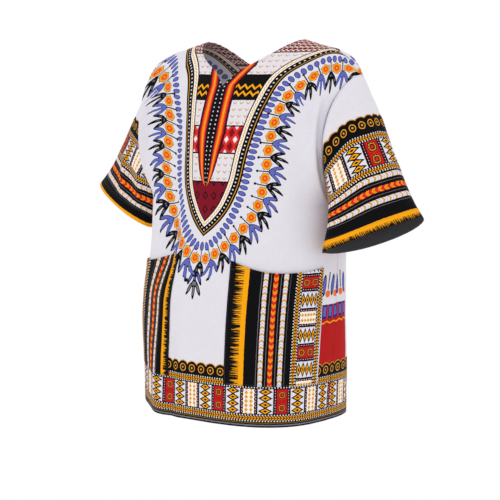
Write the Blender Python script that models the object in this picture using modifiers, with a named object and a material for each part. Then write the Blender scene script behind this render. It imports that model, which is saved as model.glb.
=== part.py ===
"""A dashiki shirt as it hangs when worn: front, back, two drop-shoulder sleeves and two patch pockets.

Metres, +Z up. The front faces -Y and the shirt's left side is +X. The origin is between the neck points,
at the height where the shoulder seams meet the neckline. Each panel is an open surface on a grid of columns,
which run from the hem up to the neckline, shoulder or armhole, and rows, which run round the body.
"""

import math

import bmesh
import bpy
from mathutils import Vector

OBJECT_NAME = "dashiki_shirt"

WALL = 0.0012
SEAM_GAP = 0.0004
POCKET_GAP = 0.00035

# Neckline, seen from above, and its slit
NECK_HALF_WIDTH = 0.118
NECK_FRONT_DEPTH = 0.100
NECK_BACK_DEPTH = 0.078
NECK_FRONT_ROUNDNESS = 1.75
NECK_BACK_ROUNDNESS = 2.0
SLIT_HALF_WIDTH = 0.033
SLIT_DEPTH_Y = 0.114

# Shoulder seam: height at each distance from the centre
SHOULDER = (
    # x, z
    (0.000, 0.010),
    (0.060, 0.007),
    (0.118, 0.000),
    (0.190, -0.019),
    (0.220, -0.035),
    (0.250, -0.068),
)

# Armhole: an oval that leans in towards the underarm
ARMHOLE_TOP = Vector((0.250, 0.000, -0.068))
ARMHOLE_BOTTOM = Vector((0.210, -0.005, -0.310))
ARMHOLE_LEAN = 4.5
ARMHOLE_FRONT_DEPTH = 0.064
ARMHOLE_BACK_DEPTH = 0.062

# Body from the chest line down, a section for each height
CHEST_Z = -0.310
HEM_Z = -0.718
SECTIONS = (
    # z, half width, side seam y, front y, back y, squareness
    (-0.310, 0.210, -0.005, -0.165, 0.102, 2.3),
    (-0.430, 0.209, -0.014, -0.173, 0.093, 2.4),
    (-0.520, 0.211, -0.022, -0.184, 0.096, 2.5),
    (-0.630, 0.208, -0.030, -0.192, 0.106, 2.7),
    (-0.718, 0.203, -0.035, -0.194, 0.112, 2.9),
)

# The right side of the hem is drawn in and up
DRAWN_IN_FROM_Z = -0.480
DRAWN_IN = {"left": 0.000, "right": 0.016}
HEM_LIFTS = {"left": 0.000, "right": 0.018}

# Where the columns' features lie, as shares of the way from the centre line to the side seam
SLIT_SHARE = 0.11
POCKET_SHARES = {"left": 0.24, "right": 0.22}
NECK_SHARE = 0.35

# Columns between one feature and the next, from the centre to the side seam
COLUMN_COUNTS = (2, 3, 3, 14)
POCKET_LAST_COLUMN = 19

# The pockets' mouths sag between their corners
MOUTHS = {
    # side: (share of the way to the side seam, height over the row of the mouth)
    "left": ((0.00, 0.016), (0.24, 0.018), (0.32, 0.010), (0.45, 0.000), (0.75, -0.001), (0.87, 0.004), (1.00, 0.000)),
    "right": ((0.00, 0.016), (0.22, 0.022), (0.35, 0.016), (0.50, 0.004), (0.75, 0.000), (0.87, 0.004), (1.00, 0.000)),
}

POCKET_TOP_Z = -0.430
POCKET_BOTTOM_Z = -0.642
POCKET_TOP_ROW = 2
POCKET_BOTTOM_ROW = 8
LOWER_ROW_COUNTS = (2, 6, 3)
UPPER_ROWS = 11
SEAM_ROW = 0.003
FINE_STEPS = 80

# How far in from the armhole its curve is felt, and the ridge of cloth that stands in front of it
ARMHOLE_REACH = 0.50
ARMHOLE_EASE = 1.5
RIDGE_SHARE = 0.86
RIDGE_HALF_WIDTH = 0.10
FRONT_RIDGES = {"left": 0.004, "right": 0.022}
BACK_RIDGES = {"left": 0.004, "right": 0.004}
RIDGE_WAY_X = 0.70
RIDGE_WAY_Y = 0.70
FRONT_SQUARENESS = 1.88
BACK_SQUARENESS = 2.5

# The front's middle hangs a little to the left over the chest
MIDDLE_SHIFT = 0.012
MIDDLE_SHIFT_FROM_Z = -0.500
MIDDLE_SHIFT_FULL_Z = -0.300

POCKET_BULGE = 0.0030

SLEEVE_ROWS = 9
SLEEVE_START_LIFT = 0.4
SLEEVE_START_OUT = 0.25
SLEEVE_END_FLARE = 0.30
SLEEVE_START_FLARES = {"left": 0.45, "right": 0.12}
CUFFS = {
    # side: outer point, inner point, from the middle to the front lip and to the back lip
    "left": ((0.384, 0.000, -0.325), (0.221, -0.073, -0.396), (0.000, -0.048, -0.003), (0.000, 0.058, -0.015)),
    "right": ((0.404, 0.000, -0.290), (0.237, -0.043, -0.374), (0.000, -0.046, 0.007), (0.000, 0.054, -0.004)),
}

# Large soft folds: their place along the chest line from the centre, positive on the left side, and in
# height, top end to bottom end, with half width and height over the panel, negative for a trough
FRONT_FOLDS = (
    # x top, z top, x bottom, z bottom, half width, height
    (-0.130, -0.050, -0.110, -0.500, 0.052, -0.026),
    (-0.105, -0.520, -0.098, -0.900, 0.022, 0.007),
    (-0.062, -0.440, -0.064, -0.900, 0.016, -0.005),
)
BACK_FOLDS = (
    # x top, z top, x bottom, z bottom, half width, height
    (0.100, -0.150, 0.060, -0.600, 0.035, -0.006),
    (-0.110, -0.180, -0.070, -0.560, 0.030, -0.006),
)

COLOURS = {
    # node: red, green, blue
    "front": (0.90, 0.89, 0.93),
    "back": (0.86, 0.86, 0.90),
    "sleeve_left": (0.16, 0.13, 0.10),
    "sleeve_right": (0.16, 0.13, 0.10),
    "pocket_left": (0.20, 0.14, 0.08),
    "pocket_right": (0.20, 0.14, 0.08),
}
CLOTH_ROUGHNESS = 0.85


def clear_scene():
    for obj in list(bpy.data.objects):
        bpy.data.objects.remove(obj, do_unlink=True)


def lerp(a, b, t):
    return a + (b - a) * t


def smoothstep(t):
    t = min(max(t, 0.0), 1.0)
    return t * t * (3.0 - 2.0 * t)


def along(table, key):
    """The row of a table at one value of its first column, with straight runs between rows."""
    rows = sorted(table)
    key = min(max(key, rows[0][0]), rows[-1][0])
    for low, high in zip(rows, rows[1:]):
        if key <= high[0]:
            t = (key - low[0]) / (high[0] - low[0])
            return tuple(lerp(a, b, t) for a, b in zip(low, high))
    return rows[-1]


def breakpoints(marks, counts):
    """Evenly spaced values between each mark and the next."""
    values = [marks[0]]
    for start, end, count in zip(marks, marks[1:], counts):
        values += [lerp(start, end, (k + 1) / count) for k in range(count)]
    return values


def upper_rows(points):
    """Evenly spaced points along a run of points with both ends, of which the last row is a short one."""
    lengths = [0.0]
    for a, b in zip(points, points[1:]):
        lengths.append(lengths[-1] + (b - a).length)
    targets = [(lengths[-1] - SEAM_ROW) * n / (UPPER_ROWS - 1) for n in range(UPPER_ROWS)] + [lengths[-1]]
    spaced = []
    k = 0
    for target in targets:
        while k < len(points) - 2 and lengths[k + 1] < target:
            k += 1
        run = max(lengths[k + 1] - lengths[k], 1e-9)
        spaced.append(points[k].lerp(points[k + 1], min((target - lengths[k]) / run, 1.0)))
    return spaced


COLUMN_SHARES = {
    side: breakpoints((0.0, SLIT_SHARE, POCKET_SHARES[side], NECK_SHARE, 1.0), COLUMN_COUNTS)
    for side in ("left", "right")
}
LOWER_HEIGHTS = breakpoints(
    (CHEST_Z, POCKET_TOP_Z, POCKET_BOTTOM_Z, HEM_Z), LOWER_ROW_COUNTS
)


def section_point(z, share, front, side):
    """A point of the body's section at a height, by its share of the way from the centre line to the side."""
    _, half_width, side_y, front_y, back_y, squareness = along(SECTIONS, z)
    half_width -= DRAWN_IN[side] * smoothstep((DRAWN_IN_FROM_Z - z) / (DRAWN_IN_FROM_Z - HEM_Z))
    end_y = front_y if front else back_y
    power = 2.0 / squareness
    steps = 48
    points = []
    for k in range(steps + 1):
        angle = 0.5 * math.pi * k / steps
        x = half_width * math.sin(angle) ** power
        y = side_y + (end_y - side_y) * max(math.cos(angle), 0.0) ** power
        points.append(Vector((x, y, z)))
    lengths = [0.0]
    for a, b in zip(points, points[1:]):
        lengths.append(lengths[-1] + (b - a).length)
    target = share * lengths[-1]
    for k in range(steps):
        if target <= lengths[k + 1]:
            t = (target - lengths[k]) / (lengths[k + 1] - lengths[k])
            return points[k].lerp(points[k + 1], t)
    return points[-1]


def armhole_point(share, front):
    """A point of the armhole, from the top (0) to the underarm (1)."""
    angle = math.pi * share
    height = 0.5 * (1.0 + math.cos(angle))
    depth = -ARMHOLE_FRONT_DEPTH if front else ARMHOLE_BACK_DEPTH
    return Vector((
        lerp(ARMHOLE_BOTTOM.x, ARMHOLE_TOP.x, height**ARMHOLE_LEAN),
        lerp(ARMHOLE_BOTTOM.y, ARMHOLE_TOP.y, height) + depth * math.sin(angle),
        lerp(ARMHOLE_BOTTOM.z, ARMHOLE_TOP.z, height),
    ))


def armhole_run(front):
    """The armhole's points from the underarm up to the shoulder, one for each row."""
    steps = FINE_STEPS
    return upper_rows([armhole_point(1.0 - k / steps, front) for k in range(steps + 1)])


def column_top(share):
    """Where a column would end on the shoulder line, or on its unseen run over the neck."""
    if share > NECK_SHARE:
        x = lerp(NECK_HALF_WIDTH, ARMHOLE_TOP.x, (share - NECK_SHARE) / (1.0 - NECK_SHARE))
    else:
        x = NECK_HALF_WIDTH * share / NECK_SHARE
    return Vector((x, 0.0, along(SHOULDER, x)[1]))


def upper_point(share, turn, front, side):
    """A point over the chest or the shoulder blades, from the chest line (turn 0) to the column's top (1)."""
    foot = section_point(CHEST_Z, share, front, side)
    top = column_top(share)
    power = 2.0 / (FRONT_SQUARENESS if front else BACK_SQUARENESS)
    angle = 0.5 * math.pi * turn
    return Vector((
        lerp(foot.x, top.x, math.sin(angle)),
        lerp(top.y, foot.y, max(math.cos(angle), 0.0) ** power),
        lerp(foot.z, top.z, math.sin(angle) ** power),
    ))


def plain_column(share, front, side):
    """The rows from the chest line up to the shoulder seam or the neckline."""
    end = last_turn(share, front, side)
    steps = FINE_STEPS
    return upper_rows([upper_point(share, end * k / steps, front, side) for k in range(steps + 1)])


def upper_column(share, front, side):
    """A plain column drawn towards the armhole, which is the last column's own line."""
    column = plain_column(share, front, side)
    side_column = plain_column(1.0, front, side)
    armhole = armhole_run(front)
    pull = smoothstep((share - ARMHOLE_REACH) / (1.0 - ARMHOLE_REACH)) ** ARMHOLE_EASE
    ridge = (FRONT_RIDGES if front else BACK_RIDGES)[side]
    ridge *= math.exp(-(((share - RIDGE_SHARE) / RIDGE_HALF_WIDTH) ** 2)) * smoothstep((1.0 - share) / 0.12)
    way = Vector((RIDGE_WAY_X, -RIDGE_WAY_Y if front else RIDGE_WAY_Y, 0.0))
    return [
        point + (goal - start) * pull + way * (ridge * math.sin(math.pi * k / UPPER_ROWS))
        for k, (point, goal, start) in enumerate(zip(column, armhole, side_column))
    ]


def in_neck(point, front):
    """Whether a point lies inside the neckline, seen from above."""
    depth = NECK_FRONT_DEPTH if front else NECK_BACK_DEPTH
    power = NECK_FRONT_ROUNDNESS if front else NECK_BACK_ROUNDNESS
    across = min(point.x / NECK_HALF_WIDTH, 1.0)
    if across**power + (abs(point.y) / depth) ** power < 1.0:
        return True
    if not front or point.x >= SLIT_HALF_WIDTH:
        return False
    slit_top = -depth * (1.0 - (SLIT_HALF_WIDTH / NECK_HALF_WIDTH) ** power) ** (1.0 / power)
    return point.y > lerp(-SLIT_DEPTH_Y, slit_top, point.x / SLIT_HALF_WIDTH)


def last_turn(share, front, side):
    """How far up a column runs before the neckline cuts it."""
    if share >= NECK_SHARE:
        return 1.0
    low, high = 0.0, 1.0
    for _ in range(24):
        middle = 0.5 * (low + high)
        if in_neck(upper_point(share, middle, front, side), front):
            high = middle
        else:
            low = middle
    return low


def row_height(z, share, side):
    """The height of a row at one column, which follows the pocket's mouth and the hem."""
    mouth = along(MOUTHS[side], share)[1]
    if z > POCKET_TOP_Z:
        reach = (CHEST_Z - z) / (CHEST_Z - POCKET_TOP_Z)
    else:
        reach = max(0.0, (z - POCKET_BOTTOM_Z) / (POCKET_TOP_Z - POCKET_BOTTOM_Z))
    down = smoothstep((DRAWN_IN_FROM_Z - z) / (DRAWN_IN_FROM_Z - HEM_Z))
    return z + mouth * reach + HEM_LIFTS[side] * down * smoothstep((share - POCKET_SHARES[side]) / 0.4)


def half_grid(front, side):
    """Half of a panel, drawn on +X: a list of columns, each from the hem up to its top."""
    grid = []
    for share in COLUMN_SHARES[side]:
        heights = [row_height(z, share, side) for z in reversed(LOWER_HEIGHTS)]
        lower = [section_point(z, share, front, side) for z in heights]
        grid.append(lower + upper_column(share, front, side)[1:])
    return grid


def mirrored(point):
    return Vector((-point.x, point.y, point.z))


def full_grid(front):
    other = half_grid(front, "right")
    grid = [[mirrored(p) for p in column] for column in reversed(other[1:])] + half_grid(front, "left")
    if not front:
        return grid
    for share, column in zip(column_places(1.0), grid):
        for point in column:
            rise = (point.z - MIDDLE_SHIFT_FROM_Z) / (MIDDLE_SHIFT_FULL_Z - MIDDLE_SHIFT_FROM_Z)
            point.x += MIDDLE_SHIFT * (1.0 - abs(share)) ** 2 * smoothstep(rise)
    return grid


def grid_normals(grid, outward_y):
    """A unit vector off the cloth at each point of a grid, on the side where y has the given sign."""
    columns, rows = len(grid), len(grid[0])
    normals = []
    for i in range(columns):
        line = []
        for j in range(rows):
            across = grid[min(i + 1, columns - 1)][j] - grid[max(i - 1, 0)][j]
            up = grid[i][min(j + 1, rows - 1)] - grid[i][max(j - 1, 0)]
            line.append((across.cross(up) * -outward_y).normalized())
        normals.append(line)
    return normals


def fold_height(folds, x, z):
    """How far the folds lift or sink the cloth at a place."""
    total = 0.0
    for x_top, z_top, x_bottom, z_bottom, half_width, height in folds:
        t = (z - z_top) / (z_bottom - z_top)
        if t <= 0.0 or t >= 1.0:
            continue
        middle = lerp(x_top, x_bottom, t)
        ends = smoothstep(t / 0.3) * smoothstep((1.0 - t) / 0.3)
        total += height * ends * math.exp(-(((x - middle) / half_width) ** 2))
    return total


def column_places(half_length):
    """Each column's distance from the centre line along the chest section."""
    shares = [-s for s in reversed(COLUMN_SHARES["right"][1:])] + COLUMN_SHARES["left"]
    return [share * half_length for share in shares]


def half_section_length(front):
    points = [section_point(CHEST_Z, k / 40, front, "left") for k in range(41)]
    return sum((b - a).length for a, b in zip(points, points[1:]))


def folded_grid(front):
    """The panel's grid with its large folds, which fade out towards the seams."""
    grid = full_grid(front)
    normals = grid_normals(grid, -1.0 if front else 1.0)
    folds = FRONT_FOLDS if front else BACK_FOLDS
    length = half_section_length(front)
    for i, place in enumerate(column_places(length)):
        fade = smoothstep((length - abs(place)) / 0.05)
        for j in range(len(grid[i]) - 1):
            lift = fade * fold_height(folds, place, grid[i][j].z)
            grid[i][j] = grid[i][j] + normals[i][j] * lift
    return grid


def sleeve_axis():
    outer, inner = (Vector(v) for v in CUFFS["left"][:2])
    return (0.5 * (outer + inner) - 0.5 * (ARMHOLE_TOP + ARMHOLE_BOTTOM)).normalized()


def sleeve_start(point, front, side):
    """The way in which the sleeve leaves the armhole at one of its points."""
    height = (point.z - ARMHOLE_BOTTOM.z) / (ARMHOLE_TOP.z - ARMHOLE_BOTTOM.z)
    up = 2.0 * height - 1.0
    sideways = math.sqrt(max(0.0, 1.0 - up * up))
    ring_way = Vector((0.0, -sideways if front else sideways, SLEEVE_START_LIFT * up))
    out = Vector((SLEEVE_START_OUT * (sideways if up > 0.0 else 1.0), 0.0, 0.0))
    return (sleeve_axis() + SLEEVE_START_FLARES[side] * ring_way + out).normalized()


def seam_step(k, front, side="left"):
    """Across the armhole seam, into the sleeve, at one of the armhole's points, counted from the top."""
    run = list(reversed(armhole_run(front)))
    behind = run[k - 1] if k > 0 else list(reversed(armhole_run(not front)))[1]
    ahead = run[k + 1] if k < UPPER_ROWS else armhole_run(not front)[1]
    along_seam = (ahead - behind).normalized()
    out = sleeve_start(run[k], front, side)
    return (out - along_seam * out.dot(along_seam)).normalized()


def cuff_point(side, angle):
    outer, inner, to_front, to_back = (Vector(v) for v in CUFFS[side])
    middle, long = 0.5 * (outer + inner), 0.5 * (outer - inner)
    sideways = math.sin(angle)
    return middle + long * math.cos(angle) + (to_front if sideways > 0.0 else to_back) * abs(sideways)


def sleeve_grid(side):
    """The sleeve's columns, which start at the top of the armhole and go round by the front."""
    columns = []
    outer, inner = (Vector(v) for v in CUFFS[side][:2])
    middle, long = 0.5 * (outer + inner), 0.5 * (outer - inner)
    for n in range(2 * UPPER_ROWS):
        front = n <= UPPER_ROWS
        k = n if front else 2 * UPPER_ROWS - n
        seam = armhole_run(front)[UPPER_ROWS - k]
        start_way = sleeve_start(seam, front, side)
        start = seam + seam_step(k, front) * (0.5 * SEAM_GAP)
        end = cuff_point(side, math.pi * n / UPPER_ROWS)
        reach = (end - start).length
        end_way = (sleeve_axis() + SLEEVE_END_FLARE * (end - middle) / long.length).normalized()
        columns.append([
            hermite(start, start_way * reach, end, end_way * reach, j / SLEEVE_ROWS)
            for j in range(SLEEVE_ROWS + 1)
        ])
    if side == "right":
        columns = [[mirrored(p) for p in column] for column in columns]
    return columns


def hermite(start, start_slope, end, end_slope, t):
    t2, t3 = t * t, t * t * t
    return (
        start * (2.0 * t3 - 3.0 * t2 + 1.0)
        + start_slope * (t3 - 2.0 * t2 + t)
        + end * (3.0 * t2 - 2.0 * t3)
        + end_slope * (t3 - t2)
    )


def open_seams(grid, front):
    """Draws the panel's edge back from its seams by half of the seam gap."""
    half_gap = 0.5 * SEAM_GAP
    back_off = Vector((0.0, -half_gap if front else half_gap, 0.0))
    centre = sum(COLUMN_COUNTS)
    last = len(grid[0]) - 1
    chest_row = last - UPPER_ROWS
    for i, column in enumerate(grid):
        side = "left" if i >= centre else "right"
        share = COLUMN_SHARES[side][abs(i - centre)]
        if share >= NECK_SHARE:
            column[last] = column[last] + back_off
        if share < 1.0:
            continue
        for j in range(chest_row + 1):
            column[j] = column[j] + back_off
        for j in range(chest_row, last + 1):
            step = seam_step(last - j, front)
            column[j] = column[j] - (step if side == "left" else mirrored(step)) * half_gap
    return grid


def add_grid(name, grid, closed, flip):
    """An object whose faces are the triangles of a grid."""
    mesh = bpy.data.meshes.new(name)
    form = bmesh.new()
    verts = [[form.verts.new(p) for p in column] for column in grid]
    pairs = list(zip(verts, verts[1:]))
    if closed:
        pairs.append((verts[-1], verts[0]))
    for i, (near, far) in enumerate(pairs):
        for j in range(len(near) - 1):
            corners = [near[j], far[j], far[j + 1], near[j + 1]]
            if flip:
                corners.reverse()
            form.faces.new(corners[:3])
            form.faces.new([corners[0], corners[2], corners[3]])
    form.to_mesh(mesh)
    form.free()
    mesh.shade_smooth()
    return bpy.data.objects.new(name, mesh)


def make_material(name):
    material = bpy.data.materials.new(name)
    material.use_nodes = True
    shader = material.node_tree.nodes["Principled BSDF"]
    shader.inputs["Base Color"].default_value = (*COLOURS[name], 1.0)
    shader.inputs["Roughness"].default_value = CLOTH_ROUGHNESS
    shader.inputs["Metallic"].default_value = 0.0
    return material


def add_wall(obj, offset):
    """Thickens an open surface: inwards for an offset of -1, outwards for 1."""
    wall = obj.modifiers.new("Wall", "SOLIDIFY")
    wall.thickness = WALL
    wall.offset = offset
    wall.use_even_offset = False


def pocket_grid(grid, normals, side):
    """The part of the front's grid under a pocket, moved out from it, with a slack mouth."""
    centre = sum(COLUMN_COUNTS)
    first = sum(COLUMN_COUNTS[:2])
    columns = range(centre + first, centre + POCKET_LAST_COLUMN + 1)
    if side == "right":
        columns = range(centre - POCKET_LAST_COLUMN, centre - first + 1)
    lower = len(LOWER_HEIGHTS) - 1
    rows = range(lower - POCKET_BOTTOM_ROW, lower - POCKET_TOP_ROW + 1)
    pocket = []
    for a, i in enumerate(columns):
        across = math.sin(math.pi * a / (len(columns) - 1))
        line = []
        for b, j in enumerate(rows):
            up = b / (len(rows) - 1)
            slack = POCKET_BULGE * across * math.sin(0.5 * math.pi * up)
            line.append(grid[i][j] + normals[i][j] * (POCKET_GAP + slack))
        pocket.append(line)
    return pocket


def build_panels(collection):
    for name, front in (("front", True), ("back", False)):
        grid = folded_grid(front)
        if front:
            normals = grid_normals(grid, -1.0)
            for side in ("left", "right"):
                pocket = add_grid(f"pocket_{side}", pocket_grid(grid, normals, side), False, False)
                add_wall(pocket, 1.0)
                finish(pocket, collection)
        panel = add_grid(name, open_seams(grid, front), False, not front)
        add_wall(panel, -1.0)
        finish(panel, collection)


def build_sleeves(collection):
    for side in ("left", "right"):
        sleeve = add_grid(f"sleeve_{side}", sleeve_grid(side), True, side == "right")
        add_wall(sleeve, -1.0)
        finish(sleeve, collection)


def finish(obj, collection):
    obj.data.materials.append(make_material(obj.name))
    collection.objects.link(obj)


def main():
    clear_scene()
    collection = bpy.data.collections.new(OBJECT_NAME)
    bpy.context.scene.collection.children.link(collection)
    build_panels(collection)
    build_sleeves(collection)


main()
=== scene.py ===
"""A printed cotton dashiki shirt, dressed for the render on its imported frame.

The cloth pieces are thin shells on the form of their solids, with finer folds. Each carries flat cloth
coordinates in metres, and its print, weave and stitching are drawn from them by shader nodes.
"""

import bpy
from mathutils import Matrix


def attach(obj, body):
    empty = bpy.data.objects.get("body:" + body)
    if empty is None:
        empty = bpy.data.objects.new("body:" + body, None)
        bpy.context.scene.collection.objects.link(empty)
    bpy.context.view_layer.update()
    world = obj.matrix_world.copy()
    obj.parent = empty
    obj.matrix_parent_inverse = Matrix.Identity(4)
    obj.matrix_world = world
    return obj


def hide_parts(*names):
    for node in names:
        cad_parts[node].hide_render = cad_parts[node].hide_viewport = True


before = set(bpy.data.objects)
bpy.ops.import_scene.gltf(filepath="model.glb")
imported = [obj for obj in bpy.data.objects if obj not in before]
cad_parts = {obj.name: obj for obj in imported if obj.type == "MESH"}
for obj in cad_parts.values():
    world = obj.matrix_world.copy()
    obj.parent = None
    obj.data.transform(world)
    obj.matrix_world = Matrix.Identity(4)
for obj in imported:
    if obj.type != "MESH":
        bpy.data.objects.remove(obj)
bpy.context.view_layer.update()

import logging
import math
from collections.abc import Callable
from dataclasses import dataclass
from enum import Enum

import bpy
import numpy as np
from mathutils import Vector

log = logging.getLogger("dashiki_shirt")

Point = tuple[float, float, float]
Table = tuple[tuple[float, ...], ...]


class Side(Enum):
    """Which half of the shirt a piece belongs to, by the way its X runs."""

    LEFT = "left"
    RIGHT = "right"

    @property
    def sign(self) -> float:
        """1 on the left half and -1 on the right one."""
        return 1.0 if self is Side.LEFT else -1.0


class Panel(Enum):
    """The two body panels."""

    FRONT = "front"
    BACK = "back"

    @property
    def way(self) -> float:
        """The sign of Y on this panel's outer face."""
        return -1.0 if self is Panel.FRONT else 1.0


def smooth(t: np.ndarray | float) -> np.ndarray | float:
    """A soft step from 0 to 1 as t runs from 0 to 1."""
    t = np.clip(t, 0.0, 1.0)
    return t * t * (3.0 - 2.0 * t)


def hump(t: np.ndarray, fade: float) -> np.ndarray:
    """1 along the way from t = 0 to 1, with a soft fade over the same share at both ends."""
    return smooth(t / fade) * smooth((1.0 - t) / fade)


def below_top(grid: np.ndarray, fade: float) -> np.ndarray:
    """1 in each row of a grid, with a soft fade to 0 over its last rows."""
    return smooth((grid.shape[1] - 1 - np.arange(grid.shape[1])) / fade)


def joined(*parts: np.ndarray | float) -> np.ndarray:
    """Points made of their coordinates, which may be arrays or plain numbers."""
    return np.stack(np.broadcast_arrays(*parts), axis=-1)


def unit(vectors: np.ndarray) -> np.ndarray:
    """The same ways, with a length of 1."""
    return vectors / np.maximum(np.linalg.norm(vectors, axis=-1, keepdims=True), 1e-12)


def run_lengths(points: np.ndarray) -> np.ndarray:
    """Distances along the last but one axis of an array of points, from its first point."""
    steps = np.linalg.norm(np.diff(points, axis=-2), axis=-1)
    return np.concatenate([np.zeros(steps.shape[:-1] + (1,)), np.cumsum(steps, axis=-1)], axis=-1)


def evenly(points: np.ndarray, count: int) -> np.ndarray:
    """Points along a run of points, with a number of even gaps, both ends included.

    Args:
        points: The run, of shape (n, 3).
        count: How many gaps the new points leave.

    Returns:
        An array of shape (count + 1, 3).
    """
    lengths = run_lengths(points)
    targets = np.linspace(0.0, lengths[-1], count + 1)
    return joined(*(np.interp(targets, lengths, column) for column in points.T))


def hermite(
    t: np.ndarray, start: np.ndarray, start_slope: np.ndarray, end: np.ndarray, end_slope: np.ndarray,
) -> np.ndarray:
    """A smooth way from one value to another that also follows a slope at each end.

    Args:
        t: How far along the way, from 0 to 1.
        start: The first value.
        start_slope: The change that it starts with.
        end: The last value.
        end_slope: The change that it ends with.

    Returns:
        The values at t.
    """
    t2, t3 = t * t, t * t * t
    return (
        start * (2.0 * t3 - 3.0 * t2 + 1.0)
        + start_slope * (t3 - 2.0 * t2 + t)
        + end * (3.0 * t2 - 2.0 * t3)
        + end_slope * (t3 - t2)
    )


def curve_through(table: Table, key: np.ndarray | float) -> np.ndarray:
    """Smooth values of a table's columns at each key of its first column.

    Args:
        table: Rows whose first value is the key.
        key: Where to read the table.

    Returns:
        An array whose last axis holds the table's other columns.
    """
    rows = np.array(sorted(table))
    knots, values = rows[:, 0], rows[:, 1:]
    slopes = np.gradient(values, knots, axis=0)
    key = np.clip(np.asarray(key, float), knots[0], knots[-1])
    at = np.clip(np.searchsorted(knots, key) - 1, 0, len(knots) - 2)
    span = (knots[at + 1] - knots[at])[..., None]
    t = (key - knots[at])[..., None] / span
    return hermite(t, values[at], span * slopes[at], values[at + 1], span * slopes[at + 1])


def stops(marks: tuple[float, ...], counts: tuple[int, ...]) -> np.ndarray:
    """Evenly spaced values between each mark and the next, every mark once."""
    parts = [np.linspace(a, b, n, endpoint=False) for a, b, n in zip(marks, marks[1:], counts)]
    return np.concatenate(parts + [np.array(marks[-1:])])


def grid_normals(grid: np.ndarray) -> np.ndarray:
    """Unit normals of a grid of points, across its columns by up its rows."""
    return unit(np.cross(np.gradient(grid, axis=0), np.gradient(grid, axis=1)))


def flat_map(grid: np.ndarray, start_column: int) -> np.ndarray:
    """Flat cloth coordinates of a grid: across from one column, and up from the first row.

    Args:
        grid: Points of shape (columns, rows, 3).
        start_column: The column from which the first coordinate is measured.

    Returns:
        An array of shape (columns, rows, 2), in metres.
    """
    least_rise = 0.6
    up = unit(np.gradient(grid, axis=1))
    step = np.diff(grid, axis=0)
    middle = 0.5 * (up[1:] + up[:-1])
    step = step - middle * np.sum(step * middle, axis=-1, keepdims=True)
    widths = np.linalg.norm(step, axis=-1)
    across = np.concatenate([np.zeros((1, grid.shape[1])), np.cumsum(widths, axis=0)])
    across -= across[start_column]
    rise = np.linalg.norm(np.diff(grid, axis=1), axis=-1)
    rise = np.sqrt(np.maximum(rise**2 - np.diff(across, axis=1) ** 2, (least_rise * rise) ** 2))
    height = np.concatenate([np.zeros((grid.shape[0], 1)), np.cumsum(rise, axis=1)], axis=1)
    return joined(across, height)


@dataclass(frozen=True)
class Fold:
    """A soft fold along a straight line.

    Args:
        start: One end of its crest, as (across, up).
        end: The other end.
        width: Half of its width.
        height: How far it stands out of the cloth, or sinks for a negative value.
    """

    start: tuple[float, float]
    end: tuple[float, float]
    width: float
    height: float

    def across(self, flat: np.ndarray) -> np.ndarray:
        """The height of a fold that runs any way over the flat cloth.

        Args:
            flat: Flat cloth coordinates.

        Returns:
            The height at each place.
        """
        way = np.subtract(self.end, self.start)
        length = np.hypot(*way)
        way = way / length
        away = flat - np.array(self.start)
        off = away @ np.array([-way[1], way[0]])
        return self.height * hump(away @ way / length, 0.35) * np.exp(-((off / self.width) ** 2))

    def down(self, place: np.ndarray, z: np.ndarray) -> np.ndarray:
        """The height of a fold that hangs down the body, by the place at chest height and by Z.

        Args:
            place: The distance from the centre line at chest height.
            z: The height of each place.

        Returns:
            The height of the fold there.
        """
        t = (z - self.start[1]) / (self.end[1] - self.start[1])
        crest = self.start[0] + (self.end[0] - self.start[0]) * t
        return self.height * hump(t, 0.3) * np.exp(-(((place - crest) / self.width) ** 2))


def ripple(flat: np.ndarray, seed: int, *sizes: tuple[float, float]) -> np.ndarray:
    """Soft irregular waves, the same for the same seed.

    Args:
        flat: Flat cloth coordinates, of shape (columns, rows, 2).
        seed: Which pattern of waves.
        sizes: Pairs of (height, mean wavelength), each laid over the others.

    Returns:
        The height at each place.
    """
    total = np.zeros(flat.shape[:-1])
    for step, (height, wave) in enumerate(sizes):
        rng = np.random.default_rng(seed + step)
        for _ in range(9):
            angle = rng.uniform(0.0, 2.0 * math.pi)
            pitch = 2.0 * math.pi / (wave * rng.uniform(0.7, 1.6))
            phase = rng.uniform(0.0, 2.0 * math.pi)
            along = flat @ np.array([math.cos(angle), math.sin(angle)])
            total += height / 6.0 * np.sin(pitch * along + phase)
    return total


@dataclass(frozen=True)
class HalfCut:
    """What sets the two halves of the body apart.

    Args:
        pocket_share: The pocket's inner edge, as a share of the way from the centre line to the side seam.
        drawn_in: How far the hem is drawn in.
        hem_lift: How far the hem rises beside the pocket's inner edge.
        mouth: Rows of (share, rise), for the line of the pocket's mouth.
    """

    pocket_share: float
    drawn_in: float
    hem_lift: float
    mouth: Table


@dataclass(frozen=True)
class PanelCut:
    """What sets the front and the back apart.

    Args:
        neck_depth: How deep the neckline runs.
        neck_power: The roundness of the neckline.
        armhole_depth: How far the armhole bows out.
        squareness: The roundness over the chest or the shoulder blades.
        ridges: How far the cloth stands out beside each armhole.
        seed: The pattern of its fine waves.
        folds: Its folds, by the place at chest height and by Z.
    """

    neck_depth: float
    neck_power: float
    armhole_depth: float
    squareness: float
    ridges: dict[Side, float]
    seed: int
    folds: tuple[Fold, ...]


@dataclass(frozen=True)
class SleeveCut:
    """What sets the two sleeves apart.

    Args:
        outer: The cuff's outer point.
        inner: The cuff's point next to the body.
        lips: From the cuff's middle to its front and its back lip.
        start_flare: How far the sleeve spreads as it leaves the armhole.
        seed: The pattern of its fine waves.
        folds: Its folds, by its flat coordinates.
    """

    outer: Point
    inner: Point
    lips: dict[Panel, Point]
    start_flare: float
    seed: int
    folds: tuple[Fold, ...]


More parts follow.
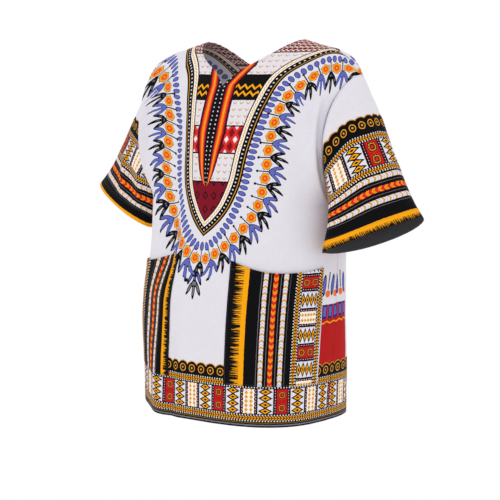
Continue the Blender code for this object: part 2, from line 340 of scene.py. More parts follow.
HALVES = {
    Side.LEFT: HalfCut(0.24, 0.0, 0.0, (
        (0.00, 0.016), (0.24, 0.018), (0.32, 0.010), (0.45, 0.000), (0.75, -0.001), (0.87, 0.004),
        (1.00, 0.000),
    )),
    Side.RIGHT: HalfCut(0.22, 0.016, 0.018, (
        (0.00, 0.016), (0.22, 0.022), (0.35, 0.016), (0.50, 0.004), (0.75, 0.000), (0.87, 0.004),
        (1.00, 0.000),
    )),
}
PANELS = {
    Panel.FRONT: PanelCut(0.100, 1.75, 0.064, 1.88, {Side.LEFT: 0.004, Side.RIGHT: 0.022}, 3, (
        Fold((-0.130, -0.050), (-0.110, -0.500), 0.052, -0.026),
        Fold((-0.105, -0.520), (-0.098, -0.900), 0.022, 0.007),
        Fold((-0.062, -0.440), (-0.064, -0.900), 0.016, -0.005),
        Fold((0.276, -0.085), (0.290, -0.330), 0.011, -0.0045),
        Fold((0.258, -0.080), (0.266, -0.330), 0.012, 0.0030),
        Fold((-0.196, -0.110), (-0.160, -0.330), 0.012, -0.0035),
    )),
    Panel.BACK: PanelCut(0.078, 2.0, 0.062, 2.5, {Side.LEFT: 0.004, Side.RIGHT: 0.004}, 8, (
        Fold((0.100, -0.150), (0.060, -0.600), 0.035, -0.006),
        Fold((-0.110, -0.180), (-0.070, -0.560), 0.030, -0.006),
        Fold((0.180, -0.220), (0.120, -0.700), 0.022, -0.005),
        Fold((-0.020, -0.420), (-0.050, -0.900), 0.024, 0.005),
        Fold((0.040, -0.460), (0.055, -0.900), 0.020, -0.004),
        Fold((-0.150, -0.420), (-0.155, -0.900), 0.022, 0.005),
    )),
}
SLEEVES = {
    Side.LEFT: SleeveCut(
        (0.384, 0.000, -0.325), (0.221, -0.073, -0.396),
        {Panel.FRONT: (0.000, -0.048, -0.003), Panel.BACK: (0.000, 0.058, -0.015)}, 0.45, 21, (
            Fold((0.036, 0.290), (0.142, 0.150), 0.008, -0.0075),
            Fold((0.020, 0.285), (0.122, 0.135), 0.013, 0.0035),
            Fold((-0.050, 0.250), (-0.120, 0.100), 0.016, -0.0045),
        ),
    ),
    Side.RIGHT: SleeveCut(
        (0.404, 0.000, -0.290), (0.237, -0.043, -0.374),
        {Panel.FRONT: (0.000, -0.046, 0.007), Panel.BACK: (0.000, 0.054, -0.004)}, 0.12, 34, (
            Fold((0.062, 0.122), (0.132, 0.006), 0.009, -0.0045),
            Fold((0.126, 0.118), (0.184, 0.008), 0.009, -0.0045),
            Fold((0.096, 0.112), (0.158, 0.006), 0.010, 0.0030),
            Fold((-0.040, 0.240), (-0.130, 0.080), 0.016, -0.0050),
        ),
    ),
}


@dataclass
class ShirtForm:
    """The worn shape, given by the cut's own sizes, from which each piece takes its surface."""

    neck_half_width: float = 0.118
    slit_half_width: float = 0.033
    slit_depth: float = 0.114
    shoulder: Table = (
        (0.000, 0.010), (0.060, 0.007), (0.118, 0.000), (0.190, -0.019), (0.220, -0.035), (0.250, -0.068),
    )
    armhole_top: Point = (0.250, 0.000, -0.068)
    armhole_bottom: Point = (0.210, -0.005, -0.310)
    armhole_lean: float = 4.5
    armhole_reach: float = 0.50
    armhole_ease: float = 1.5
    chest_z: float = -0.310
    hem_z: float = -0.718
    sections: Table = (
        (-0.310, 0.210, -0.005, -0.165, 0.102, 2.3),
        (-0.430, 0.209, -0.014, -0.173, 0.093, 2.4),
        (-0.520, 0.211, -0.022, -0.184, 0.096, 2.5),
        (-0.630, 0.208, -0.030, -0.192, 0.106, 2.7),
        (-0.718, 0.203, -0.035, -0.194, 0.112, 2.9),
    )
    drawn_in_from_z: float = -0.480
    slit_share: float = 0.11
    neck_share: float = 0.35
    pocket_end_share: float = 0.8607
    pocket_top_z: float = -0.430
    pocket_bottom_z: float = -0.642
    column_counts: tuple[int, ...] = (10, 12, 12, 46, 14)
    row_counts: tuple[int, ...] = (30, 56, 24)
    upper_rows: int = 80
    ridge_share: float = 0.86
    ridge_half_width: float = 0.10
    ridge_end: float = 0.12
    ridge_slant: float = 0.70
    seam_gap: float = 0.0004
    middle_shift: float = 0.012
    shift_from_z: float = -0.500
    shift_full_z: float = -0.300

    @property
    def chest_row(self) -> int:
        """The row that lies at chest height."""
        return sum(self.row_counts)

    def shares(self, side: Side) -> np.ndarray:
        """Where the columns of one half stand, as shares of the way from the centre line to the side seam."""
        pocket_share = HALVES[side].pocket_share
        marks = (0.0, self.slit_share, pocket_share, self.neck_share, self.pocket_end_share, 1.0)
        return stops(marks, self.column_counts)

    def all_shares(self) -> np.ndarray:
        """The shares of a whole panel's columns, below 0 on the right half."""
        return np.concatenate([-self.shares(Side.RIGHT)[:0:-1], self.shares(Side.LEFT)])

    def drop(self, z: np.ndarray | float) -> np.ndarray | float:
        """How far down the drawn-in part of the body a height lies, from 0 to 1."""
        return smooth((self.drawn_in_from_z - z) / (self.drawn_in_from_z - self.hem_z))

    def section(self, z: float, shares: np.ndarray, panel: Panel, side: Side) -> np.ndarray:
        """The body's section at one height.

        Args:
            z: The height.
            shares: Where the points stand.
            panel: Front or back.
            side: Which half.

        Returns:
            Points of shape (columns, 3).
        """
        half_width, side_y, front_y, back_y, squareness = curve_through(self.sections, z)
        half_width -= HALVES[side].drawn_in * self.drop(z)
        end_y = front_y if panel is Panel.FRONT else back_y
        angle = np.linspace(0.0, 0.5 * math.pi, 97)
        power = 2.0 / squareness
        x = half_width * np.sin(angle) ** power
        y = side_y + (end_y - side_y) * np.maximum(np.cos(angle), 0.0) ** power
        run = run_lengths(joined(x, y))
        at = shares * run[-1]
        return joined(np.interp(at, run, x), np.interp(at, run, y), z)

    def row_heights(self, share: float, side: Side) -> np.ndarray:
        """The heights of one column's lower rows, which follow the pocket's mouth and the hem.

        Args:
            share: Where the column stands.
            side: Which half.

        Returns:
            The heights, from the hem up.
        """
        half = HALVES[side]
        z = stops((self.hem_z, self.pocket_bottom_z, self.pocket_top_z, self.chest_z), self.row_counts)
        over = (self.chest_z - z) / (self.chest_z - self.pocket_top_z)
        under = np.maximum(0.0, (z - self.pocket_bottom_z) / (self.pocket_top_z - self.pocket_bottom_z))
        reach = np.where(z > self.pocket_top_z, over, under)
        lift = half.hem_lift * self.drop(z) * smooth((share - half.pocket_share) / 0.4)
        return z + curve_through(half.mouth, share)[0] * reach + lift

    def armhole(self, panel: Panel, count: int) -> np.ndarray:
        """Evenly spaced points of the armhole from the underarm up to the shoulder.

        Args:
            panel: Front or back.
            count: How many gaps the points leave.

        Returns:
            An array of shape (count + 1, 3).
        """
        angle = math.pi * np.linspace(1.0, 0.0, 161)
        height = 0.5 * (1.0 + np.cos(angle))
        low, high = np.array(self.armhole_bottom), np.array(self.armhole_top)
        points = low + (high - low) * joined(height**self.armhole_lean, height, height)
        points[:, 1] += panel.way * PANELS[panel].armhole_depth * np.sin(angle)
        return evenly(points, count)

    def over_point(self, foot: np.ndarray, share: float, turn: np.ndarray, panel: Panel) -> np.ndarray:
        """Points of one column over the chest or the shoulder blades.

        Args:
            foot: The column's point at chest height.
            share: Where the column stands.
            turn: How far up each point lies, from 0 to 1.
            panel: Front or back.

        Returns:
            The points.
        """
        x = np.interp(share, (0.0, self.neck_share, 1.0), (0.0, self.neck_half_width, self.armhole_top[0]))
        top = np.array([x, 0.0, np.interp(x, *np.array(self.shoulder).T)])
        power = 2.0 / PANELS[panel].squareness
        rise = np.sin(0.5 * math.pi * turn)
        fall = np.maximum(np.cos(0.5 * math.pi * turn), 0.0)
        return foot + (top - foot) * joined(rise, 1.0 - fall**power, rise**power)

    def in_neck(self, point: np.ndarray, panel: Panel) -> bool:
        """Whether a point lies inside the neckline, seen from above.

        Args:
            point: The point, on the +X half.
            panel: Front or back.

        Returns:
            True where the neckline cuts it out.
        """
        depth, power = PANELS[panel].neck_depth, PANELS[panel].neck_power
        across = min(point[0] / self.neck_half_width, 1.0)
        if across**power + (abs(point[1]) / depth) ** power < 1.0:
            return True
        if panel is Panel.BACK or point[0] >= self.slit_half_width:
            return False
        top = -depth * (1.0 - (self.slit_half_width / self.neck_half_width) ** power) ** (1.0 / power)
        return point[1] > -self.slit_depth + (top + self.slit_depth) * point[0] / self.slit_half_width

    def last_turn(self, foot: np.ndarray, share: float, panel: Panel) -> float:
        """How far up a column runs before the neckline cuts it.

        Args:
            foot: The column's point at chest height.
            share: Where the column stands.
            panel: Front or back.

        Returns:
            The last turn, from 0 to 1.
        """
        if share >= self.neck_share:
            return 1.0
        low, high = 0.0, 1.0
        for _ in range(24):
            middle = 0.5 * (low + high)
            if self.in_neck(self.over_point(foot, share, np.array(middle), panel), panel):
                high = middle
            else:
                low = middle
        return low

    def half(self, panel: Panel, side: Side) -> np.ndarray:
        """Half of a panel, drawn on +X.

        Args:
            panel: Front or back.
            side: Which half.

        Returns:
            Points of shape (columns, rows, 3).
        """
        shares = self.shares(side)
        levels = np.linspace(self.hem_z, self.chest_z + 0.02, 90)
        table = np.stack([self.section(z, shares, panel, side) for z in levels], axis=1)
        feet = self.section(self.chest_z, shares, panel, side)
        turns = np.linspace(0.0, 1.0, 161)
        last = self.over_point(feet[-1], 1.0, turns, panel)
        pulls = self.armhole(panel, self.upper_rows) - evenly(last, self.upper_rows)
        swell = np.sin(math.pi * np.linspace(0.0, 1.0, self.upper_rows + 1))[:, None]
        swell = swell * self.ridge_slant * np.array([1.0, panel.way, 0.0]) * PANELS[panel].ridges[side]
        columns = []
        for share, foot, below in zip(shares, feet, table):
            z = self.row_heights(share, side)
            lower = joined(np.interp(z, levels, below[:, 0]), np.interp(z, levels, below[:, 1]), z)
            end = self.last_turn(foot, share, panel)
            upper = evenly(self.over_point(foot, share, turns * end, panel), self.upper_rows)
            pull = smooth((share - self.armhole_reach) / (1.0 - self.armhole_reach)) ** self.armhole_ease
            ridge = math.exp(-(((share - self.ridge_share) / self.ridge_half_width) ** 2))
            upper = upper + pulls * pull + swell * ridge * smooth((1.0 - share) / self.ridge_end)
            columns.append(np.concatenate([lower, upper[1:]]))
        return np.array(columns)

    def full(self, panel: Panel) -> np.ndarray:
        """A whole panel, from its right side seam to its left one.

        Args:
            panel: Front or back.

        Returns:
            Points of shape (columns, rows, 3).
        """
        other = self.half(panel, Side.RIGHT)[:0:-1] * np.array([-1.0, 1.0, 1.0])
        grid = np.concatenate([other, self.half(panel, Side.LEFT)])
        if panel is Panel.FRONT:
            rise = (grid[..., 2] - self.shift_from_z) / (self.shift_full_z - self.shift_from_z)
            inwards = (1.0 - np.abs(self.all_shares())) ** 2
            grid[..., 0] += self.middle_shift * inwards[:, None] * smooth(rise)
        return grid


@dataclass
class BodyPanel:
    """The front or the back of the shirt, with its folds."""

    form: ShirtForm
    panel: Panel
    waves: Table = ((0.0009, 0.11), (0.00035, 0.035))
    fold_fade: float = 0.05
    wave_fade: float = 0.02
    top_fade: float = 5.0

    def surface(self) -> tuple[np.ndarray, np.ndarray]:
        """The folded surface and its flat cloth coordinates."""
        cut, outwards = PANELS[self.panel], -self.panel.way
        grid = self.form.full(self.panel)
        centre = sum(self.form.column_counts)
        chest = run_lengths(grid[:, self.form.chest_row])
        place = (chest - chest[centre])[:, None]
        from_seam = 0.5 * chest[-1] - np.abs(place)
        top = below_top(grid, self.top_fade) * outwards
        lift = sum(fold.down(place, grid[..., 2]) for fold in cut.folds)
        grid = grid + grid_normals(grid) * (lift * smooth(from_seam / self.fold_fade) * top)[..., None]
        flat = flat_map(grid, centre)
        fine = ripple(flat, cut.seed, *self.waves)
        grid = grid + grid_normals(grid) * (fine * smooth(from_seam / self.wave_fade) * top)[..., None]
        return grid, flat

    def neck_away(self, grid: np.ndarray) -> np.ndarray:
        """How far each place is from the neckline, and where along it.

        Args:
            grid: The panel's surface.

        Returns:
            An array of shape (columns, rows, 2).
        """
        line = grid[np.abs(self.form.all_shares()) <= self.form.neck_share, -1]
        away = np.linalg.norm(grid[:, :, None] - line, axis=-1)
        return joined(away.min(axis=-1), run_lengths(line)[away.argmin(axis=-1)])

    def opened(self, grid: np.ndarray) -> np.ndarray:
        """The surface drawn back from its seams by half of the seam's gap.

        Args:
            grid: The panel's surface.

        Returns:
            A copy with its own edges.
        """
        grid = grid.copy()
        half_gap = 0.5 * self.form.seam_gap
        back_off = np.array([0.0, self.panel.way * half_gap, 0.0])
        grid[np.abs(self.form.all_shares()) >= self.form.neck_share, -1] += back_off
        for column, inwards in ((0, half_gap), (-1, -half_gap)):
            grid[column, :self.form.chest_row] += back_off
            grid[column, self.form.chest_row:, 0] += inwards
        return grid


@dataclass
class PatchPocket:
    """A pocket sewn on the front, whose surface is the front's own, moved out."""

    form: ShirtForm
    side: Side
    gap: float = 0.00035
    bulge: float = 0.0030
    lip: float = 0.0006
    lip_from: float = 0.93
    print_shift: float = 0.043
    shift_reach: float = 0.045

    def surface(self, front: np.ndarray, front_flat: np.ndarray) -> tuple[np.ndarray, np.ndarray]:
        """The pocket's surface and its cloth coordinates, from its inner edge and from its bottom.

        Args:
            front: The front's surface.
            front_flat: Its flat coordinates.

        Returns:
            Both, over the pocket's own part of the front.
        """
        counts = self.form.column_counts
        first, last, centre = sum(counts[:2]), sum(counts[:4]), sum(counts)
        below, covered = self.form.row_counts[:2]
        columns = slice(centre + first, centre + last + 1)
        if self.side is Side.RIGHT:
            columns = slice(centre - last, centre - first + 1)
        part = columns, slice(below, below + covered + 1)
        patch, out, flat = front[part], grid_normals(front)[part], front_flat[part]
        a = np.linspace(0.0, 1.0, patch.shape[0])[:, None]
        b = np.linspace(0.0, 1.0, patch.shape[1])
        lift = self.gap + self.bulge * np.sin(math.pi * a) ** 0.8 * np.sin(0.5 * math.pi * b)
        lift = lift + self.lip * smooth((b - self.lip_from) / 0.05)
        inner = flat[0, :, 0] if self.side is Side.LEFT else flat[-1, :, 0]
        placed = joined(np.abs(flat[..., 0] - inner), flat[..., 1] - flat[:, :1, 1])
        return patch + out * lift[..., None], placed

    def printed(self, flat: np.ndarray) -> np.ndarray:
        """Where the print runs on the pocket: up its height, then away from its inner edge.

        Args:
            flat: Flat cloth coordinates.

        Returns:
            The coordinates of the print.
        """
        placed = flat[..., ::-1] * np.array([-1.0, 1.0])
        if self.side is Side.RIGHT:
            reach = flat[..., 0]
            rising = 1.0 - (1.0 - np.minimum(reach / self.shift_reach, 1.0)) ** 2
            placed[..., 1] += self.print_shift * rising * (1.0 - smooth((reach - 0.06) / 0.12))
        return placed


@dataclass
class Sleeve:
    """A drop-shoulder sleeve: a folded tube from the armhole to its slanted open end."""

    body: ShirtForm
    side: Side
    axis_end: Point = (0.3025, -0.0365, -0.3605)
    start_lift: float = 0.4
    start_out: float = 0.25
    end_flare: float = 0.30
    half_columns: int = 72
    rows: int = 84
    waves: Table = ((0.0011, 0.09), (0.0004, 0.03))
    under_fade: float = 0.02
    top_fade: float = 6.0

    def axis(self) -> np.ndarray:
        """The way in which the sleeve runs."""
        start = 0.5 * (np.array(self.body.armhole_top) + np.array(self.body.armhole_bottom))
        return unit(np.array(self.axis_end) - start)

    def start_ways(self, seam: np.ndarray, panel: Panel) -> np.ndarray:
        """The way in which the sleeve leaves the armhole at each of its points.

        Args:
            seam: The armhole's points.
            panel: Front or back.

        Returns:
            Unit vectors, one for each point.
        """
        low, high = self.body.armhole_bottom[2], self.body.armhole_top[2]
        up = 2.0 * (seam[:, 2] - low) / (high - low) - 1.0
        sideways = np.sqrt(np.maximum(0.0, 1.0 - up * up))
        ring = joined(0.0, panel.way * sideways, self.start_lift * up)
        out = joined(self.start_out * np.where(up > 0.0, sideways, 1.0), 0.0, 0.0)
        return unit(self.axis() + SLEEVES[self.side].start_flare * ring + out)

    def half(self, panel: Panel) -> np.ndarray:
        """The front or the back half, from the underarm to the top.

        Args:
            panel: Front or back.

        Returns:
            Points of shape (columns, rows, 3).
        """
        cut = SLEEVES[self.side]
        seam = self.body.armhole(panel, self.half_columns)
        ways = self.start_ways(seam, panel)
        start = seam + ways * (0.5 * self.body.seam_gap)
        angle = (math.pi * np.linspace(1.0, 0.0, self.half_columns + 1))[:, None]
        outer, inner, lip = np.array(cut.outer), np.array(cut.inner), np.array(cut.lips[panel])
        middle, long = 0.5 * (outer + inner), 0.5 * (outer - inner)
        end = middle + long * np.cos(angle) + lip * np.sin(angle)
        reach = np.linalg.norm(end - start, axis=-1, keepdims=True)
        end_ways = unit(self.axis() + self.end_flare * (end - middle) / np.linalg.norm(long))
        t = np.linspace(0.0, 1.0, self.rows + 1)[:, None]
        return hermite(t, *(part[:, None] for part in (start, ways * reach, end, end_ways * reach)))

    def tube(self) -> np.ndarray:
        """The whole sleeve from the underarm round by the front, whose rows run from the cuff up."""
        tube = np.concatenate([self.half(Panel.FRONT), self.half(Panel.BACK)[-2::-1]])[:, ::-1]
        return tube * np.array([self.side.sign, 1.0, 1.0])

    def surface(self) -> tuple[np.ndarray, np.ndarray]:
        """The sleeve's surface and its cloth coordinates, round from the top and up from the cuff."""
        cut, grid = SLEEVES[self.side], self.tube()
        flat = flat_map(grid, self.half_columns) * np.array([-1.0, 1.0])
        normals = grid_normals(np.concatenate([grid[-3:-1], grid, grid[1:3]]))[2:-2]
        lift = sum(fold.across(flat) for fold in cut.folds)
        lift = lift + ripple(flat, cut.seed, *self.waves)
        half = 0.5 * (flat[0, :, 0] - flat[-1, :, 0])
        lift = lift * smooth((half - np.abs(flat[..., 0])) / self.under_fade) * below_top(grid, self.top_fade)
        return grid - normals * (self.side.sign * lift)[..., None], flat

    def printed(self, flat: np.ndarray) -> np.ndarray:
        """Where the print runs on the sleeve, which the cut doesn't follow all round.

        Args:
            flat: Flat cloth coordinates.

        Returns:
            The coordinates of the print.
        """
        placed = flat.copy()
        if self.side is Side.LEFT:
            placed[..., 1] *= 0.945 + 0.30 * smooth((flat[..., 0] - 0.06) / 0.12)
        else:
            inwards = smooth((flat[..., 0] - 0.06) / 0.11)
            placed[..., 0] -= 0.012
            placed[..., 1] += 0.0125 + 0.0125 * inwards * smooth(flat[..., 1] / 0.03)
        return placed


class Dye(Enum):
    """The colours of the cotton and of its print."""

    COTTON = "E0DDE5"
    CREAM = "F6EFE2"
    INK = "0A090C"
    GREY = "74727B"
    GOLD = "F7A50D"
    AMBER = "DE9A2E"
    BRONZE = "7C5716"
    ORANGE = "F2701B"
    RED = "D92A22"
    CRIMSON = "B4181A"
    WINE = "7E1024"
    BLUE = "5F67B8"
    NAVY = "262A66"

    @property
    def linear(self) -> tuple[float, float, float, float]:
        """The colour in linear light, with full opacity."""
        parts = [int(self.value[k:k + 2], 16) / 255.0 for k in (0, 2, 4)]
        red, green, blue = (c / 12.92 if c <= 0.04045 else ((c + 0.055) / 1.055) ** 2.4 for c in parts)
        return red, green, blue, 1.0


Bands = tuple[tuple[float, float, Dye], ...]
# Limits for a band that has no lower edge, or no upper one.
NONE_BELOW = -0.01
ALL_ABOVE = 99.0


class Measure:
    """A number that a material works out at each place of the cloth. A mask is 1 inside and 0 outside."""

    def __init__(self, bench: "PrintBench", socket: bpy.types.NodeSocket) -> None:
        """Keeps the material's nodes and the socket that holds the number."""
        self.bench = bench
        self.socket = socket

    def work(self, operation: str, *others: "Measure | float") -> "Measure":
        """The result of a Math node's operation on this and on other measures."""
        return self.bench.work(operation, self, *others)

    def __add__(self, other: "Measure | float") -> "Measure":
        """The sum."""
        return self.work("ADD", other)

    def __sub__(self, other: "Measure | float") -> "Measure":
        """The difference."""
        return self.work("SUBTRACT", other)

    def __mul__(self, other: "Measure | float") -> "Measure":
        """The product, which is also the overlap of two masks."""
        return self.work("MULTIPLY", other)

    def __truediv__(self, other: "Measure | float") -> "Measure":
        """The quotient."""
        return self.work("DIVIDE", other)

    def __abs__(self) -> "Measure":
        """The size without its sign."""
        return self.work("ABSOLUTE")

    def plus(self, other: "Measure", times: float) -> "Measure":
        """The sum with a multiple of another measure."""
        return other.work("MULTIPLY_ADD", times, self)

    def fold(self, pitch: float) -> "Measure":
        """How far each place is from the nearest multiple of a pitch."""
        return self.work("PINGPONG", 0.5 * pitch)

    def turn(self, pitch: float) -> "Measure":
        """How far through its repeat each place is, from 0 to 1."""
        return (self / pitch).work("FRACT")

    def under(self, limit: float) -> "Measure":
        """A mask of the places where this is less than a limit."""
        return self.work("LESS_THAN", limit)

    def over(self, limit: float) -> "Measure":
        """A mask of the places where this is more than a limit."""
        return self.work("GREATER_THAN", limit)

    def near(self, place: float, reach: float) -> "Measure":
        """A mask of the places where this is within reach of a number."""
        return self.work("COMPARE", place, reach)

    def between(self, low: float, high: float) -> "Measure":
        """A mask of the places where this lies between two limits."""
        return self.near(0.5 * (low + high), 0.5 * (high - low))

    def either(self, other: "Measure | float") -> "Measure":
        """The larger of two measures, which is also the union of two masks."""
        return self.work("MAXIMUM", other)

    def lesser(self, other: "Measure | float") -> "Measure":
        """The smaller of two measures."""
        return self.work("MINIMUM", other)

    def round(self, other: "Measure") -> "Measure":
        """The squared distance that this and another measure make together."""
        return other.work("MULTIPLY_ADD", other, self * self)

    def dot(self, other: "Measure", radius: float) -> "Measure":
        """A mask of the places less than a radius away, by this and another measure."""
        return self.round(other).under(radius**2)

    def oval(self, other: "Measure", half_width: float, half_length: float) -> "Measure":
        """A measure that grows from the middle of an oval, and is 1 on its edge."""
        return (self / half_width).round(other / half_length)

    def lozenge(self, other: "Measure", half_width: float, half_length: float) -> "Measure":
        """A measure that grows from the middle of a lozenge, and is 1 on its edge."""
        return (self / half_width).plus(other, 1.0 / half_length)

    def lay(self, dye: "Dye | bpy.types.NodeSocket", *within: "Measure") -> None:
        """Prints a dye, or a set of stripes, where this mask and all the others are 1."""
        mask = self
        for other in within:
            mask = mask * other
        self.bench.lay(dye, mask)

    def lay_bands(self, bands: Bands, *within: "Measure") -> None:
        """Prints each dye in turn where this lies between its two limits and the masks are 1."""
        for low, high, dye in bands:
            self.between(low, high).lay(dye, *within)

    def lay_stripes(self, top: float, stripes: Bands, *within: "Measure") -> None:
        """Prints plain stripes on a black ground.

        Args:
            top: The greatest height that the stripes cover.
            stripes: The stripes by their heights, from the edge up.
            within: The masks that the ground fills.
        """
        node = self.bench.node("ValToRGB", {"Fac": self / top})
        ramp = node.color_ramp
        ramp.interpolation = "CONSTANT"
        ramp.elements[0].color = ramp.elements[1].color = Dye.INK.linear
        ramp.elements[1].position = 1.0
        for low, high, dye in stripes:
            ramp.elements.new(low / top).color = dye.linear
            ramp.elements.new(high / top).color = Dye.INK.linear
        within[0].lay(node.outputs["Color"], *within[1:])


Place = tuple[Measure, Measure]


class PrintBench:
    """The nodes of one cloth material, on which its print is laid dye by dye."""

    def __init__(self, material: bpy.types.Material) -> None:
        """Starts with the plain cotton's colour."""
        material.use_nodes = True
        self.tree = material.node_tree
        self.shader = self.tree.nodes["Principled BSDF"]
        self.colour: bpy.types.NodeSocket | tuple[float, ...] = Dye.COTTON.linear

    def feed(self, node: bpy.types.Node, inputs: dict) -> None:
        """Joins a node's inputs to measures or sockets, or sets their plain values.

        Args:
            node: The node.
            inputs: What goes into it, by the input's name or number.
        """
        for name, value in inputs.items():
            value = getattr(value, "socket", value)
            if isinstance(value, bpy.types.NodeSocket):
                self.tree.links.new(value, node.inputs[name])
            else:
                node.inputs[name].default_value = value

    def node(self, kind: str, inputs: dict, **settings: str) -> bpy.types.Node:
        """Adds a shader node with its settings and inputs.

        Args:
            kind: The node's type, without its prefix.
            inputs: What goes into it, by the input's name or number.
            settings: Its own settings.

        Returns:
            The new node.
        """
        node = self.tree.nodes.new(f"ShaderNode{kind}")
        for name, value in settings.items():
            setattr(node, name, value)
        self.feed(node, inputs)
        return node

    def work(self, operation: str, *values: Measure | float) -> Measure:
        """The result of a Math node's operation on measures or plain numbers."""
        node = self.node("Math", dict(enumerate(values)), operation=operation)
        return Measure(self, node.outputs[0])

    def place(self, map_name: str) -> Place:
        """The two coordinates of one of the piece's maps."""
        source = self.node("UVMap", {}, uv_map=map_name)
        parts = self.node("SeparateXYZ", {"Vector": source.outputs["UV"]})
        return Measure(self, parts.outputs["X"]), Measure(self, parts.outputs["Y"])

    def noise(self, place: Place, spots: tuple[float, float], detail: float) -> Measure:
        """An uneven measure from 0 to 1.

        Args:
            place: The coordinates that it is drawn by.
            spots: The size of its spots by each of them, in metres.
            detail: How many finer layers it has.

        Returns:
            The noise.
        """
        joined_place = self.node("CombineXYZ", {"X": place[0] / spots[0], "Y": place[1] / spots[1]})
        inputs = {"Vector": joined_place.outputs["Vector"], "Scale": 1.0, "Detail": detail}
        return Measure(self, self.node("TexNoise", inputs, noise_dimensions="2D").outputs[0])

    def wobbled(self, place: Place) -> Place:
        """Two coordinates with the small unevenness of hand-cut printing blocks."""
        drift = self.noise(place, (0.006, 0.006), 1.0)
        return place[0].plus(drift, 0.0012), place[1].plus(drift, -0.0012)

    def lay(self, dye: Dye | bpy.types.NodeSocket, mask: Measure | float) -> None:
        """Prints a dye, or a set of stripes, as strongly as the mask says."""
        dye = dye.linear if isinstance(dye, Dye) else dye
        self.colour = self.node("Mix", {0: mask, 6: self.colour, 7: dye}, data_type="RGBA").outputs[2]


@dataclass(frozen=True)
class CottonFinish:
    """Woven cotton with its print, its stitching and its soft sheen.

    Args:
        faded: How much of the plain cotton shows through the print.
        yarn: The distance between two yarns, in metres.
    """

    faded: float = 0.0
    yarn: float = 0.0009
    weave_height: float = 0.00006
    stitch_pitch: float = 0.0032
    stitch_share: float = 0.72
    stitch_half_width: float = 0.00045
    stitch_shade: float = 0.25
    stitch_depth: float = 0.0004
    tone: tuple[float, float] = (0.22, 0.93)

    def stitch(self, along: Measure, across: Measure, place: float) -> Measure:
        """A mask of one row of stitches.

        Args:
            along: The coordinate along the row.
            across: The coordinate across it.
            place: Where the row's middle is, by the second one.

        Returns:
            The mask.
        """
        row = across.near(place, self.stitch_half_width)
        return along.turn(self.stitch_pitch).under(self.stitch_share) * row

    def dress(self, cloth: Place, stitches: Measure, height: Measure) -> None:
        """Joins the print to the shader and adds the weave, slubs, stitches and hems.

        Args:
            cloth: The cloth's flat coordinates.
            stitches: A mask of all the stitches.
            height: How far folded-over cloth raises the surface, in metres.
        """
        bench = stitches.bench
        bench.lay(Dye.GREY, stitches * self.stitch_shade)
        if self.faded > 0.0:
            bench.lay(Dye.COTTON, self.faded)
        slubs = bench.noise(cloth, (0.0011, 0.020), 3.0)
        picks = bench.noise(cloth, (0.020, 0.0011), 3.0)
        shade = (slubs * picks).plus(bench.noise(cloth, (0.05, 0.05), 2.0), 0.15)
        value = shade.work("MULTIPLY_ADD", *self.tone)
        colour = bench.node("HueSaturation", {"Value": value, "Color": bench.colour})
        warp, weft = ((part * (2.0 * math.pi / self.yarn)).work("SINE") for part in cloth)
        raised = height.plus(warp * weft, self.weave_height)
        raised = raised.plus(slubs + picks, 2.0 * self.weave_height).plus(stitches, -self.stitch_depth)
        bump = bench.node("Bump", {"Strength": 0.8, "Distance": 1.0, "Height": raised})
        bench.feed(bench.shader, {
            "Base Color": colour.outputs["Color"], "Normal": bump.outputs["Normal"], "Roughness": 0.82,
            "Specular IOR Level": 0.07, "Sheen Weight": 0.02, "Sheen Roughness": 0.5,
        })


